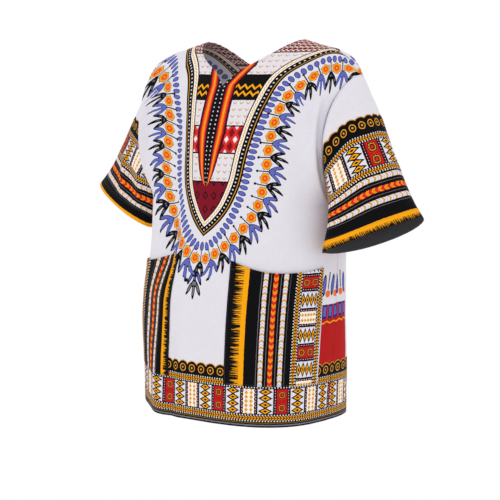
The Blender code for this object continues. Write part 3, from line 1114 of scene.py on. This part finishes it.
@dataclass(frozen=True)
class PanelBorder:
    """A printed band of cream, lozenge and red panels between zigzag rows, with a row of rings on top.

    Args:
        base: The height of its lower edge.
        zigzag: The height of each zigzag row.
        panel: The height of the panels.
        rings: The height of the row of rings, or 0 for none.
        period: From one cream panel to the next.
        start: Where a cream panel stands along the border.
    """

    base: float
    zigzag: float
    panel: float
    rings: float
    period: float
    start: float
    ring_pitch: float = 0.0222
    ring_radius: float = 0.0066
    scallop_radius: float = 0.0140
    drawn_period: float = 0.164
    star: Bands = (
        (NONE_BELOW, 0.0124, Dye.RED), (NONE_BELOW, 0.0104, Dye.INK), (0.0062, 0.0082, Dye.AMBER),
        (NONE_BELOW, 0.0034, Dye.RED),
    )

    @property
    def ring_height(self) -> float:
        """The height of the rings' centres."""
        return self.base + 2.0 * self.zigzag + self.panel + 0.5 * self.rings

    def ground(self, along: Measure, up: Measure) -> Measure:
        """A mask of all that the border covers, with its scalloped upper edge."""
        if self.rings == 0.0:
            return up.under(self.ring_height)
        return up.under(self.ring_height).either(
            along.fold(self.ring_pitch).dot(up - self.ring_height, self.scallop_radius))

    def paint(self, along: Measure, up: Measure) -> None:
        """Prints the band over its ground."""
        for height in (0.5 * self.zigzag, 1.5 * self.zigzag + self.panel):
            self.paint_zigzag(along, up - (self.base + height))
        self.paint_panels(along - self.start, up - (self.base + self.zigzag + 0.5 * self.panel))
        if self.rings > 0.0:
            self.paint_rings(along, up - self.ring_height)

    def paint_zigzag(self, along: Measure, up: Measure) -> None:
        """Prints two gold zigzags between two rows of white dots.

        Args:
            along: The place along the border.
            up: The height above the row's middle.
        """
        half, away = 0.5 * self.zigzag, abs(up)
        along.fold(0.0055).dot(away - 0.76 * half, 0.0013).lay(Dye.COTTON)
        along.plus(away, 0.9).turn(0.0056).under(0.56).lay(Dye.GOLD, away.between(0.0004, 0.50 * half))

    def paint_panels(self, along: Measure, up: Measure) -> None:
        """Prints the cream, lozenge and red panels and the dotted rows between them.

        Args:
            along: The place along the border from a cream panel.
            up: The height above the panels' middle.
        """
        scale = self.period / self.drawn_period
        place, inside = along.fold(self.period), abs(up).under(0.48 * self.panel)
        bead_pitch, step, row_pitch = self.panel / 6.0, self.panel / 4.0, 0.0050
        beads = up.fold(bead_pitch)
        place.plus(beads, 0.35).under(0.0150 * scale).lay(Dye.CREAM, inside)
        seeds = abs(place - 0.0062 * scale).lozenge(beads, 0.0036, 0.52 * bead_pitch)
        seeds.under(1.0).lay(Dye.AMBER, inside)
        across = abs(place - 0.0415 * scale)
        rows = abs(across - 0.0240 * scale)
        rows.dot(up.fold(row_pitch), 0.0008).lay(Dye.COTTON, inside)
        rows.dot((up + 0.5 * row_pitch).fold(row_pitch), 0.0013).lay(Dye.WINE, inside)
        lozenge = across.lozenge((up + 0.5 * step).fold(step), 0.0150 * scale, 0.5 * step)
        sides = across.under(0.0190 * scale) * inside
        lozenge.lay_bands(((1.20, ALL_ABOVE, Dye.COTTON), (0.36, 0.76, Dye.GOLD)), sides)
        red = place.over(0.0690 * scale) * inside
        red.lay(Dye.CRIMSON)
        across = abs(place - 0.5 * self.period)
        rise = (up + 0.25 * self.panel).fold(0.5 * self.panel)
        star = (across.either(rise) * 1.32).lesser(across + rise) / scale
        star.lay_bands(self.star, red)

    def paint_rings(self, along: Measure, up: Measure) -> None:
        """Prints the gold rings and the gold line along the scallops.

        Args:
            along: The place along the border.
            up: The height above the rings' centres.
        """
        place = along.fold(self.ring_pitch)
        away = place.round(up).work("SQRT")
        away.near(self.ring_radius, 0.0009).either(away.under(0.0020)).lay(Dye.AMBER)
        rim = away.near(self.scallop_radius - 0.0009, 0.0007)
        rim.lay(Dye.AMBER, up.over(0.0), place.under(0.5 * self.ring_pitch - 0.0002))


@dataclass(frozen=True)
class Selvedge:
    """The brushed gold edge and the three chains that run along the cuffs and up the pockets.

    Args:
        fringe: The height at which the brushed strokes start.
        gold: The heights of the gold stripe's edges.
        chains: The height of the middle chain.
        spacing: From one chain to the next.
        top: The height of the whole black ground.
        half_width: Half of a chain's width.
        link: The length of a chain's link.
    """

    fringe: float
    gold: tuple[float, float]
    chains: float
    spacing: float
    top: float
    half_width: float = 0.0040
    link: float = 0.0125
    middle_chain: Bands = ((0.00, 0.46, Dye.GOLD), (0.14, 0.32, Dye.ORANGE), (0.95, 1.00, Dye.WINE))
    outer_chain: Bands = ((0.00, 0.30, Dye.AMBER), (0.62, 0.67, Dye.GREY))

    def paint(self, along: Measure, up: Measure) -> None:
        """Prints the stripes, the brushed strokes and the chains.

        Args:
            along: The place along the selvedge.
            up: The height above its edge.
        """
        middles = [self.chains + place * self.spacing for place in (-1.45, -0.5, 0.5, 1.45)]
        lines = tuple((middle - 0.0004, middle + 0.0004, Dye.GREY) for middle in middles)
        up.lay_stripes(self.top, ((*self.gold, Dye.GOLD), *lines), up.under(self.top))
        depth = self.gold[0] - self.fringe
        brushed = up.plus(up.bench.noise((along, up), (0.0016, 0.040), 3.0), 4.0 * depth)
        brush_reach = up.between(self.fringe, self.gold[0] + 0.0002)
        for share, dye in ((1.60, Dye.BRONZE), (1.88, Dye.GOLD)):
            brushed.over(self.gold[0] + share * depth).lay(dye, brush_reach)
        away = abs(up - self.chains)
        self.paint_chain(along.plus(away, 0.9), away.under(self.half_width), Dye.RED, self.middle_chain)
        away = abs(away - self.spacing)
        self.paint_chain(along.plus(away, -0.8), away.under(self.half_width), Dye.COTTON, self.outer_chain)

    def paint_chain(self, along: Measure, inside: Measure, ground: Dye, links: Bands) -> None:
        """Prints one chain of chevrons.

        Args:
            along: The place along it, slanted into chevrons.
            inside: A mask of the whole chain.
            ground: Its plain dye.
            links: What is printed over that, by the share of each link.
        """
        inside.lay(ground)
        along.turn(self.link).lay_bands(links, inside)


@dataclass(frozen=True)
class GuideLine:
    """A line drawn on the flat cloth from the centre line up to one shoulder, and its mirror image.

    Args:
        points: Rows of (distance from the centre line, height above the hem), from the centre up.
        spread: How many times further out it runs on each half.
        wider: By what share the motifs along it are wider on the right half.
    """

    points: Table
    spread: tuple[float, float] = (1.0, 1.0)
    wider: float = 0.0

    def curve(self) -> np.ndarray:
        """The smooth line, of shape (places, 2)."""
        rows = np.array(self.points)
        key = run_lengths(rows)
        return curve_through(tuple(zip(key, *rows.T)), np.linspace(0.0, key[-1], 100))

    def measure(self, flat: np.ndarray) -> np.ndarray:
        """Where each place lies along the line, and how far outside it.

        Args:
            flat: Flat cloth coordinates, of shape (columns, rows, 2).

        Returns:
            An array of shape (columns, rows, 2).
        """
        curve = self.curve()
        starts, ways, run = curve[:-1], np.diff(curve, axis=0), run_lengths(curve)
        lengths = np.linalg.norm(ways, axis=1)
        x, up = flat.reshape(-1, 2).T
        away = joined(np.maximum(x / self.spread[0], -x / self.spread[1]), up)[:, None, :] - starts
        t = np.clip(np.sum(away * ways, axis=-1) / lengths**2, 0.0, 1.0)
        foot = away - t[..., None] * ways
        distance = np.linalg.norm(foot, axis=-1)
        best = distance.argmin(axis=1)
        chosen = np.arange(len(x)), best
        foot, way = foot[chosen], ways[best]
        outside = -np.sign(way[:, 0] * foot[:, 1] - way[:, 1] * foot[:, 0]) * distance[chosen]
        widening = 1.0 + self.wider * smooth(-x / 0.06)
        return joined(run[best] + t[chosen] * lengths[best], outside / widening).reshape(flat.shape)


@dataclass(frozen=True)
class NeckPanel:
    """The long shield of bands, rows and stripes round the neck opening.

    Args:
        outline: Its outer edge.
        stripes_from: The height at which the stripes beside the slit meet, or none.
        rows: The heights of the lines between its rows.
    """

    outline: GuideLine
    stripes_from: float | None
    rows: tuple[float, ...]
    band: float = 0.0240
    line: float = 0.0014
    edge_stripes: Bands = ((0.0034, 0.0046, Dye.AMBER), (0.0142, 0.0218, Dye.CREAM))
    slit_width: float = 0.0335
    slit_stripes: Bands = (
        (0.0120, 0.0140, Dye.WINE), (0.0140, 0.0165, Dye.RED), (0.0165, 0.0190, Dye.ORANGE),
        (0.0190, 0.0215, Dye.GOLD), (0.0215, 0.0245, Dye.ORANGE), (0.0245, 0.0275, Dye.RED),
        (0.0275, 0.0300, Dye.WINE),
    )

    def paint(self, flat: Place, edge: Place) -> None:
        """Prints the panel.

        Args:
            flat: The flat cloth coordinates.
            edge: The place along the outline and the distance outside it.
        """
        along, inside = edge[0], edge[1] * -1.0
        inside.lay_stripes(self.band, self.edge_stripes, inside.over(0.0))
        along.fold(0.0078).dot(inside - 0.0096, 0.0015).lay(Dye.COTTON)
        twist = inside.plus(along.fold(0.0066), -0.85).near(0.0166, 0.0009)
        twist.lay(Dye.AMBER, inside.between(0.0148, 0.0212))
        core = inside.over(self.band)
        core.lay(Dye.COTTON)
        self.paint_rows(abs(flat[0]), flat[1], core)
        if self.stripes_from is not None:
            self.paint_stripes(flat[0], flat[1], core)

    def paint_rows(self, across: Measure, up: Measure, core: Measure) -> None:
        """Prints the rows inside the bands, from the tip up.

        Args:
            across: The distance from the centre line.
            up: The height above the hem.
            core: The mask that they stay within.
        """
        marks = self.rows
        up.under(marks[0]).lay(Dye.WINE, core)
        lozenge = across.fold(0.020).plus((up - marks[0]).fold(0.026), 0.8)
        lozenge.between(0.0040, 0.0066).lay(Dye.INK, up.under(marks[0]), core)
        wings = across.fold(0.0140)
        for low, high in ((marks[0], marks[1]), (marks[2], marks[3]), (marks[4], marks[5])):
            sprigs = ((up - low).turn(0.0130) * 0.0130).plus(wings, -0.9).near(0.0040, 0.0013)
            sprigs.lay(Dye.AMBER, wings.under(0.0042), up.between(low, high), core)
        size = 0.5 * (marks[2] - marks[1])
        lozenge = across.fold(0.019).lozenge((up - marks[1]).fold(size), 0.0095, 0.5 * size)
        tones = ((0.55, ALL_ABOVE, Dye.RED), (1.25, ALL_ABOVE, Dye.WINE), (NONE_BELOW, 0.28, Dye.CREAM))
        lozenge.lay_bands(tones, up.between(marks[1], marks[2]), core)
        row = up.between(marks[3], marks[4]) * core
        row.lay(Dye.INK)
        for start in (0.008, 0.022):
            up.plus(across.fold(0.0150), -1.1).near(marks[3] + start, 0.0026).lay(Dye.GOLD, row)
        row = up.over(marks[5]) * core
        row.lay(Dye.WINE)
        up.fold(0.0120).plus(across.fold(0.0090), -0.9).near(0.0, 0.0009).lay(Dye.CREAM, row)
        for mark in marks:
            up.near(mark, self.line).lay(Dye.INK, core)

    def paint_stripes(self, side: Measure, up: Measure, core: Measure) -> None:
        """Prints the stripes that run down both sides of the slit and meet in a point.

        Args:
            side: The distance to the left of the centre line.
            up: The height above the hem.
            core: The mask that they stay within.
        """
        low, opens_at = self.stripes_from, 0.640
        closing = ((up - low) / 0.10).either(0.0001).work("SQRT").lesser(1.0)
        opening = (up - opens_at).either(0.0).lesser(0.045) * (side.over(0.0) * 0.35 + 0.25)
        place = (abs(side) - opening) / closing
        inside = place.under(self.slit_width) * up.over(low) * core
        place.lay_stripes(self.slit_width, self.slit_stripes, inside)
        abs(place - 0.0058).dot(up.fold(0.0085), 0.0015).lay(Dye.COTTON, inside)


@dataclass(frozen=True)
class Garland:
    """Blue seeds, orange rosettes and three-bladed sprays set along lines round the neck panel.

    Args:
        seeds: The line of the blue seeds.
        rosettes: The line of the rosettes.
        pendant: How far the hanging spray stands from the centre line.
        pitch: From one rosette to the next.
        seed_pitch: From one seed to the next.
        side_blades: Rows of (angle, middle, half length, half width), for the blades beside the first one.
    """

    seeds: GuideLine
    rosettes: GuideLine
    pendant: float = 0.0
    pitch: float = 0.0262
    seed_pitch: float = 0.0114
    side_blades: Table = ((22.0, 0.0225, 0.0150, 0.0033), (8.0, 0.0120, 0.0075, 0.0040))

    def paint_seeds(self, along: Measure, out: Measure) -> None:
        """Prints the ring of pointed blue seeds."""
        seed = along.fold(self.seed_pitch).oval(out, 0.0045, 0.0086)
        seed.lay_bands(((NONE_BELOW, 1.0, Dye.NAVY), (NONE_BELOW, 0.58, Dye.BLUE)))

    def blades(self, side: Measure, out: Measure) -> Measure:
        """How far each place is from the blades of one spray, less than 1 on them.

        Args:
            side: The distance from the spray's middle line.
            out: The distance from its root.

        Returns:
            The measure.
        """
        blades = side.oval(out - 0.0240, 0.0030, 0.0165)
        base = out + 0.002
        for angle, centre, half_length, half_width in self.side_blades:
            sine, cosine = math.sin(math.radians(angle)), math.cos(math.radians(angle))
            forth = (base * cosine).plus(side, sine) - centre
            blades = blades.lesser((side * cosine).plus(base, -sine).oval(forth, half_width, half_length))
        return blades

    def paint_sprays(self, along: Measure, out: Measure) -> None:
        """Prints the sprays, black and blue in turn.

        Args:
            along: The place along the rosettes' line.
            out: The distance outside it.
        """
        bent = out.either(0.0)
        along = along.plus(bent * bent, 7.0)
        side = along.fold(self.pitch)
        blades = self.blades(side, out)
        stem = side.under(0.0011) * out.between(-0.021, 0.008)
        blades.under(1.0).either(stem).either(side.dot(out + 0.021, 0.0026)).lay(Dye.INK)
        turn = along.fold(2.0 * self.pitch)
        blades.under(0.06).lay(Dye.GREY, turn.under(0.5 * self.pitch))
        blades.under(0.55).lay(Dye.BLUE, turn.over(0.5 * self.pitch))

    def paint_pendant(self, across: Measure, up: Measure) -> None:
        """Prints the hanging spray at the lowest point of the lines.

        Args:
            across: The distance to the left of the centre line.
            up: The height above the hem.
        """
        top = self.rosettes.points[0][1] - 0.016
        side = abs(across - self.pendant) * 0.80
        for lower, dye in ((0.0, Dye.BLUE), (0.0200, Dye.GREY)):
            blades = self.blades(side, up * -1.0 + (top - lower))
            blades.lay_bands(((NONE_BELOW, 1.0, Dye.INK), (NONE_BELOW, 0.30, dye)))

    def paint_rosettes(self, along: Measure, out: Measure) -> None:
        """Prints round rosettes with a notched rim and a glowing middle.

        Args:
            along: The place along their line.
            out: The distance outside it.
        """
        side, lower = (along + 0.5 * self.pitch).fold(self.pitch), out + 0.003
        away = side.round(lower).work("SQRT")
        rim = away.plus((lower.work("ARCTAN2", side) * 6.0).work("COSINE"), 0.0009)
        rim.lay_bands(((NONE_BELOW, 0.0103, Dye.INK), (NONE_BELOW, 0.0094, Dye.GOLD)))
        away.lay_bands((
            (NONE_BELOW, 0.0068, Dye.ORANGE), (0.0030, 0.0044, Dye.RED), (NONE_BELOW, 0.0018, Dye.GOLD),
        ))


@dataclass(frozen=True)
class BodyPrint:
    """All that is printed on one body panel: the neck, the garland, the border and the sides' red field."""

    neck: NeckPanel
    garland: Garland
    border: PanelBorder
    side_from: float
    edge: Bands = ((0.0020, 0.0040, Dye.GREY), (0.0066, 0.0082, Dye.BRONZE))
    hem: float = 0.0185
    neck_hem: float = 0.0056

    def maps(self, flat: np.ndarray, neck_away: np.ndarray) -> dict[str, np.ndarray]:
        """The panel's maps by name.

        Args:
            flat: Its flat cloth coordinates.
            neck_away: The distance from the neckline and the place along it.

        Returns:
            The maps.
        """
        lines = {"Shield": self.neck.outline, "Seeds": self.garland.seeds, "Rosettes": self.garland.rosettes}
        found = {name: line.measure(flat) for name, line in lines.items()}
        return {"Cloth": flat, **found, "Neck": neck_away}

    def paint(self, material: bpy.types.Material, finish: CottonFinish) -> None:
        """Prints the whole panel on one of its materials.

        Args:
            material: The material to fill.
            finish: The cotton that it is printed on.
        """
        bench = PrintBench(material)
        plain = bench.place("Cloth")
        flat, rosettes = bench.wobbled(plain), bench.place("Rosettes")
        self.garland.paint_pendant(*flat)
        self.garland.paint_sprays(*rosettes)
        self.garland.paint_rosettes(*rosettes)
        self.garland.paint_seeds(*bench.place("Seeds"))
        self.neck.paint(flat, bench.place("Shield"))
        self.paint_sides(abs(flat[0]), flat[1])
        flat[1].lay_stripes(0.20, self.edge, self.border.ground(*flat))
        self.border.paint(*flat)
        away, along = bench.place("Neck")
        stitches = finish.stitch(*plain, 0.0180).either(finish.stitch(along, away, 0.0050))
        doubled = plain[1].under(self.hem).either(away.under(self.neck_hem))
        finish.dress(plain, stitches, doubled * 0.0005)

    def paint_sides(self, across: Measure, up: Measure) -> None:
        """Prints the red field with its band that shows behind the pockets.

        Args:
            across: The distance from the centre line.
            up: The height above the hem.
        """
        inside = across.over(self.side_from)
        up.under(0.195).lay(Dye.CRIMSON, inside)
        up.plus(across.fold(0.020), 0.4).near(0.1905, 0.0012).lay(Dye.GOLD, inside)
        band = inside * up.between(0.195, 0.222)
        band.lay(Dye.NAVY)
        blocks, gaps = across.fold(0.016), (across + 0.0120).fold(0.0240)
        blocks.under(0.0038).lay(Dye.BLUE, up.between(0.200, 0.218), band)
        blocks.over(0.0064).lay(Dye.RED, band)
        sprig = across.fold(0.0240).oval(up - 0.2580, 0.0052, 0.0200)
        sprig.lay_bands(((NONE_BELOW, 1.0, Dye.NAVY), (NONE_BELOW, 0.5, Dye.BLUE)), inside)
        gaps.dot(up - 0.2420, 0.0068).lay(Dye.ORANGE, inside)
        gaps.under(0.0014).lay(Dye.INK, up.between(0.250, 0.282), inside)


@dataclass(frozen=True)
class StripPrint:
    """The print of a sleeve or a pocket: a selvedge and a band of panels along one edge.

    Args:
        selvedge: The selvedge.
        border: The band of panels.
        pocket: A pocket's width and height, for the stitches along its edges, or none for a sleeve.
    """

    selvedge: Selvedge
    border: PanelBorder
    pocket: tuple[float, float] | None = None

    def paint(self, material: bpy.types.Material, finish: CottonFinish) -> None:
        """Prints the piece on one of its materials.

        Args:
            material: The material to fill.
            finish: The cotton that it is printed on.
        """
        bench = PrintBench(material)
        plain = bench.place("Cloth")
        along, up = bench.wobbled(bench.place("Print"))
        self.border.ground(along, up).lay(Dye.INK)
        self.selvedge.paint(along, up)
        self.border.paint(along, up)
        if self.pocket is None:
            if finish.faded > 0.0:
                plain[1].under(0.0300).lay(Dye.INK)
            stitches, doubled = finish.stitch(*plain, 0.0160), plain[1].under(0.0165)
        else:
            width, top = self.pocket
            stitches = finish.stitch(plain[1], abs(plain[0] - 0.5 * width), 0.5 * width - 0.0025)
            for height in (0.0025, top - 0.0160):
                stitches = stitches.either(finish.stitch(*plain, height))
            doubled = plain[1].over(top - 0.0165)
        finish.dress(plain, stitches, doubled * 0.0006)


@dataclass
class ClothPiece:
    """A thin shell on a grid of points, with flat cloth coordinates.

    Args:
        node: The solid that it stands for, which also gives its name.
        slot: The record's material slot, not used.
        flat: The width and length of its cut, not used.
        area: Its flat area where the cut is no rectangle, not used.
        rests_on: The pieces that it lies on.
        flip: Whether columns by rows would face inwards.
        outwards: Whether the wall grows outwards from the grid.
        closed: Whether the first and last columns meet in a seam.
    """

    node: str
    slot: str
    flat: tuple[float, float]
    area: float | None = None
    rests_on: tuple[str, ...] = ()
    flip: bool = False
    outwards: bool = False
    closed: bool = False
    thickness: float = 0.0010

    def build(
        self, grid: np.ndarray, maps: dict[str, np.ndarray],
        paint: Callable[[bpy.types.Material, CottonFinish], None],
    ) -> bpy.types.Object:
        """Makes the shell, sets it under the frame's root, hides the solid that it stands for and prints it.

        Args:
            grid: Points of shape (columns, rows, 3).
            maps: UV coordinates by map name, each of shape (columns, rows, 2).
            paint: What prints one of its materials.

        Returns:
            The finished object, with its outer material in slot 0 and its inner one in slot 1.
        """
        piece = bpy.data.objects.new(f"cloth_{self.node}", self.mesh(grid, maps))
        bpy.context.scene.collection.objects.link(piece)
        self.thicken(piece)
        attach(piece, "root")
        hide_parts(self.node)
        for material, finish in zip(piece.data.materials, FACES.values()):
            paint(material, finish)
        list(self.rests_on)
        return piece

    def mesh(self, grid: np.ndarray, maps: dict[str, np.ndarray]) -> bpy.types.Mesh:
        """The grid as a smooth mesh of quads with its maps.

        Args:
            grid: Points of shape (columns, rows, 3).
            maps: UV coordinates by map name.

        Returns:
            The mesh.
        """
        columns, rows = grid.shape[:2]
        used = columns - 1 if self.closed else columns
        i, j = np.meshgrid(np.arange(columns - 1), np.arange(rows - 1), indexing="ij")
        corners = [(i, j), (i + 1, j), (i + 1, j + 1), (i, j + 1)]
        if self.flip:
            corners.reverse()
        vertex = np.stack([(a % used) * rows + b for a, b in corners], axis=-1).reshape(-1, 4)
        mesh = bpy.data.meshes.new(f"cloth_{self.node}")
        mesh.vertices.add(used * rows)
        mesh.vertices.foreach_set("co", grid[:used].reshape(-1).astype(np.float32))
        mesh.loops.add(vertex.size)
        mesh.loops.foreach_set("vertex_index", vertex.reshape(-1).astype(np.int32))
        mesh.polygons.add(len(vertex))
        mesh.polygons.foreach_set("loop_start", np.arange(0, vertex.size, 4, dtype=np.int32))
        mesh.update(calc_edges=True)
        for map_name, values in maps.items():
            loops = np.stack([values[a, b] for a, b in corners], axis=-2).reshape(-1)
            mesh.uv_layers.new(name=map_name).data.foreach_set("uv", loops.astype(np.float32))
        mesh.validate()
        mesh.shade_smooth()
        return mesh

    def thicken(self, piece: bpy.types.Object) -> None:
        """Gives the cloth its wall, whose inner face takes the second material.

        Args:
            piece: The open surface.
        """
        wall = piece.modifiers.new("Wall", "SOLIDIFY")
        wall.thickness = self.thickness
        wall.offset = 1.0 if self.outwards else -1.0
        wall.material_offset = 1
        wall.use_even_offset = False
        for face in FACES:
            piece.data.materials.append(bpy.data.materials.new(f"{piece.name}_{face}"))
        bpy.ops.object.select_all(action="DESELECT")
        bpy.context.view_layer.objects.active = piece
        piece.select_set(True)
        bpy.ops.object.modifier_apply(modifier=wall.name)
        piece.select_set(False)


@dataclass
class Studio:
    """The camera at the photograph's angle and soft lights in a white room."""

    camera_turn: float = math.radians(38.0)
    distance: float = 3.0
    camera_z: float = -0.11
    target_z: float = -0.41
    light_target_z: float = -0.35
    lens: float = 109.9
    shift_x: float = -0.009
    lights: tuple[tuple[str, Point, float, float], ...] = (
        ("key", (1.2, -3.2, 1.7), 2.4, 11.0),
        ("fill", (-3.0, -1.6, 0.9), 2.4, 2.0),
        ("rim", (-0.6, 3.0, 1.6), 1.8, 7.0),
    )

    def aim(self, data: bpy.types.ID, place: Point, target_z: float) -> bpy.types.Object:
        """Stands a camera or a light at a place, facing the shirt's middle line at a height.

        Args:
            data: The camera or the light.
            place: Where it stands.
            target_z: The height that it faces.

        Returns:
            The new object.
        """
        found = bpy.data.objects.new(data.name, data)
        found.location = place
        way = Vector((0.0, 0.0, target_z)) - Vector(place)
        found.rotation_euler = way.to_track_quat("-Z", "Y").to_euler()
        bpy.context.scene.collection.objects.link(found)
        return found

    def build(self) -> None:
        """Sets up the camera, the lights and the room's even white light."""
        scene = bpy.context.scene
        view = bpy.data.cameras.new("view")
        view.lens = self.lens
        view.sensor_width = 36.0
        view.shift_x = self.shift_x
        x, y = self.distance * math.sin(self.camera_turn), -self.distance * math.cos(self.camera_turn)
        scene.camera = self.aim(view, (x, y, self.camera_z), self.target_z)
        for name, place, size, power in self.lights:
            lamp = bpy.data.lights.new(name, "AREA")
            lamp.size = size
            lamp.energy = power
            self.aim(lamp, place, self.light_target_z)
        scene.world = bpy.data.worlds.new("studio")
        scene.world.use_nodes = True
        background = scene.world.node_tree.nodes["Background"]
        background.inputs["Color"].default_value = (1.0, 1.0, 1.0, 1.0)
        background.inputs["Strength"].default_value = 1.0
        scene.view_settings.view_transform = "Standard"


HEM_BORDER = PanelBorder(base=0.0095, zigzag=0.0145, panel=0.0480, rings=0.0230, period=0.125, start=0.0020)
BODY_PRINTS = {
    Panel.FRONT: BodyPrint(
        neck=NeckPanel(
            outline=GuideLine((
                (0.000, 0.349), (0.020, 0.366), (0.040, 0.389), (0.064, 0.436), (0.078, 0.512),
                (0.095, 0.600), (0.112, 0.656), (0.145, 0.690), (0.180, 0.715), (0.230, 0.760),
            ), (1.12, 0.92), 0.45),
            stripes_from=0.444,
            rows=(0.452, 0.506, 0.558, 0.610, 0.662, 0.716),
        ),
        garland=Garland(
            seeds=GuideLine((
                (0.000, 0.330), (0.010, 0.3305), (0.026, 0.341), (0.052, 0.372), (0.080, 0.432),
                (0.096, 0.512), (0.112, 0.594), (0.131, 0.642), (0.165, 0.674), (0.205, 0.700),
                (0.250, 0.735),
            ), (1.00, 1.12), 0.55),
            rosettes=GuideLine((
                (0.000, 0.304), (0.012, 0.3045), (0.038, 0.316), (0.072, 0.342), (0.102, 0.372),
                (0.124, 0.408), (0.136, 0.455), (0.139, 0.530), (0.144, 0.580), (0.156, 0.615),
                (0.186, 0.644), (0.222, 0.672), (0.265, 0.700),
            ), (0.92, 1.14), 0.30),
            pendant=-0.008,
        ),
        border=HEM_BORDER,
        side_from=0.2590,
    ),
    Panel.BACK: BodyPrint(
        neck=NeckPanel(
            outline=GuideLine((
                (0.000, 0.520), (0.024, 0.534), (0.048, 0.556), (0.076, 0.600), (0.100, 0.648),
                (0.135, 0.684), (0.180, 0.712), (0.230, 0.750),
            )),
            stripes_from=None,
            rows=(0.560, 0.590, 0.610, 0.622, 0.650, 0.676),
        ),
        garland=Garland(
            seeds=GuideLine((
                (0.000, 0.502), (0.028, 0.513), (0.060, 0.542), (0.092, 0.590), (0.118, 0.638),
                (0.155, 0.672), (0.205, 0.700), (0.250, 0.735),
            )),
            rosettes=GuideLine((
                (0.000, 0.472), (0.040, 0.480), (0.080, 0.508), (0.112, 0.550), (0.138, 0.596),
                (0.168, 0.636), (0.205, 0.664), (0.262, 0.695),
            )),
        ),
        border=HEM_BORDER,
        side_from=0.2300,
    ),
}
BODY_AREAS = {Panel.FRONT: 0.440, Panel.BACK: 0.470}
POCKET_SELVEDGE = Selvedge(fringe=0.012, gold=(0.030, 0.040), chains=0.0900, spacing=0.0180, top=0.1270)
POCKET_BORDER = PanelBorder(base=0.1270, zigzag=0.0120, panel=0.0360, rings=0.0, period=0.129, start=0.0030)
SLEEVE_PRINT = StripPrint(
    Selvedge(
        fringe=-0.0020, gold=(0.0085, 0.0165), chains=0.0680, spacing=0.0200, top=0.0955, half_width=0.0046,
    ),
    PanelBorder(
        base=0.0955, zigzag=0.0125, panel=0.0460, rings=0.0340, period=0.164, start=-0.047,
        ring_pitch=0.0195, ring_radius=0.0062, scallop_radius=0.0160,
    ),
)
FACES = {"outer": CottonFinish(), "inner": CottonFinish(faded=0.08)}


def build_shirt() -> list[bpy.types.Object]:
    """Builds every piece of the shirt: the body, then the pockets on its front, then the sleeves."""
    form, pieces, surfaces = ShirtForm(), [], {}
    for panel in Panel:
        body, print_on = BodyPanel(form, panel), BODY_PRINTS[panel]
        cut = ClothPiece(
            panel.value, "body_cloth", (0.640, 0.800), BODY_AREAS[panel], flip=panel is Panel.BACK)
        grid, flat = surfaces[panel] = body.surface()
        pieces.append(cut.build(body.opened(grid), print_on.maps(flat, body.neck_away(grid)), print_on.paint))
    for side in Side:
        pocket = PatchPocket(form, side)
        cut = ClothPiece(
            f"pocket_{side.value}", "pocket_cloth", (0.190, 0.230), rests_on=("cloth_front",), outwards=True)
        grid, flat = pocket.surface(*surfaces[Panel.FRONT])
        size = float(flat[..., 0].max()), float(flat[..., 1].max())
        print_on = StripPrint(POCKET_SELVEDGE, POCKET_BORDER, size)
        pieces.append(cut.build(grid, {"Cloth": flat, "Print": pocket.printed(flat)}, print_on.paint))
    for side in Side:
        sleeve = Sleeve(form, side)
        cut = ClothPiece(
            f"sleeve_{side.value}", "sleeve_cloth", (0.500, 0.290), 0.100, flip=side is Side.RIGHT,
            closed=True)
        grid, flat = sleeve.surface()
        pieces.append(cut.build(grid, {"Cloth": flat, "Print": sleeve.printed(flat)}, SLEEVE_PRINT.paint))
    return pieces


def main() -> None:
    """Builds the studio and the shirt, and reports each piece."""
    Studio().build()
    for piece in build_shirt():
        log.info("%s: %d faces", piece.name, len(piece.data.polygons))


if __name__ == "__main__":
    logging.basicConfig(level=logging.INFO, format="%(name)s %(message)s")
    main()
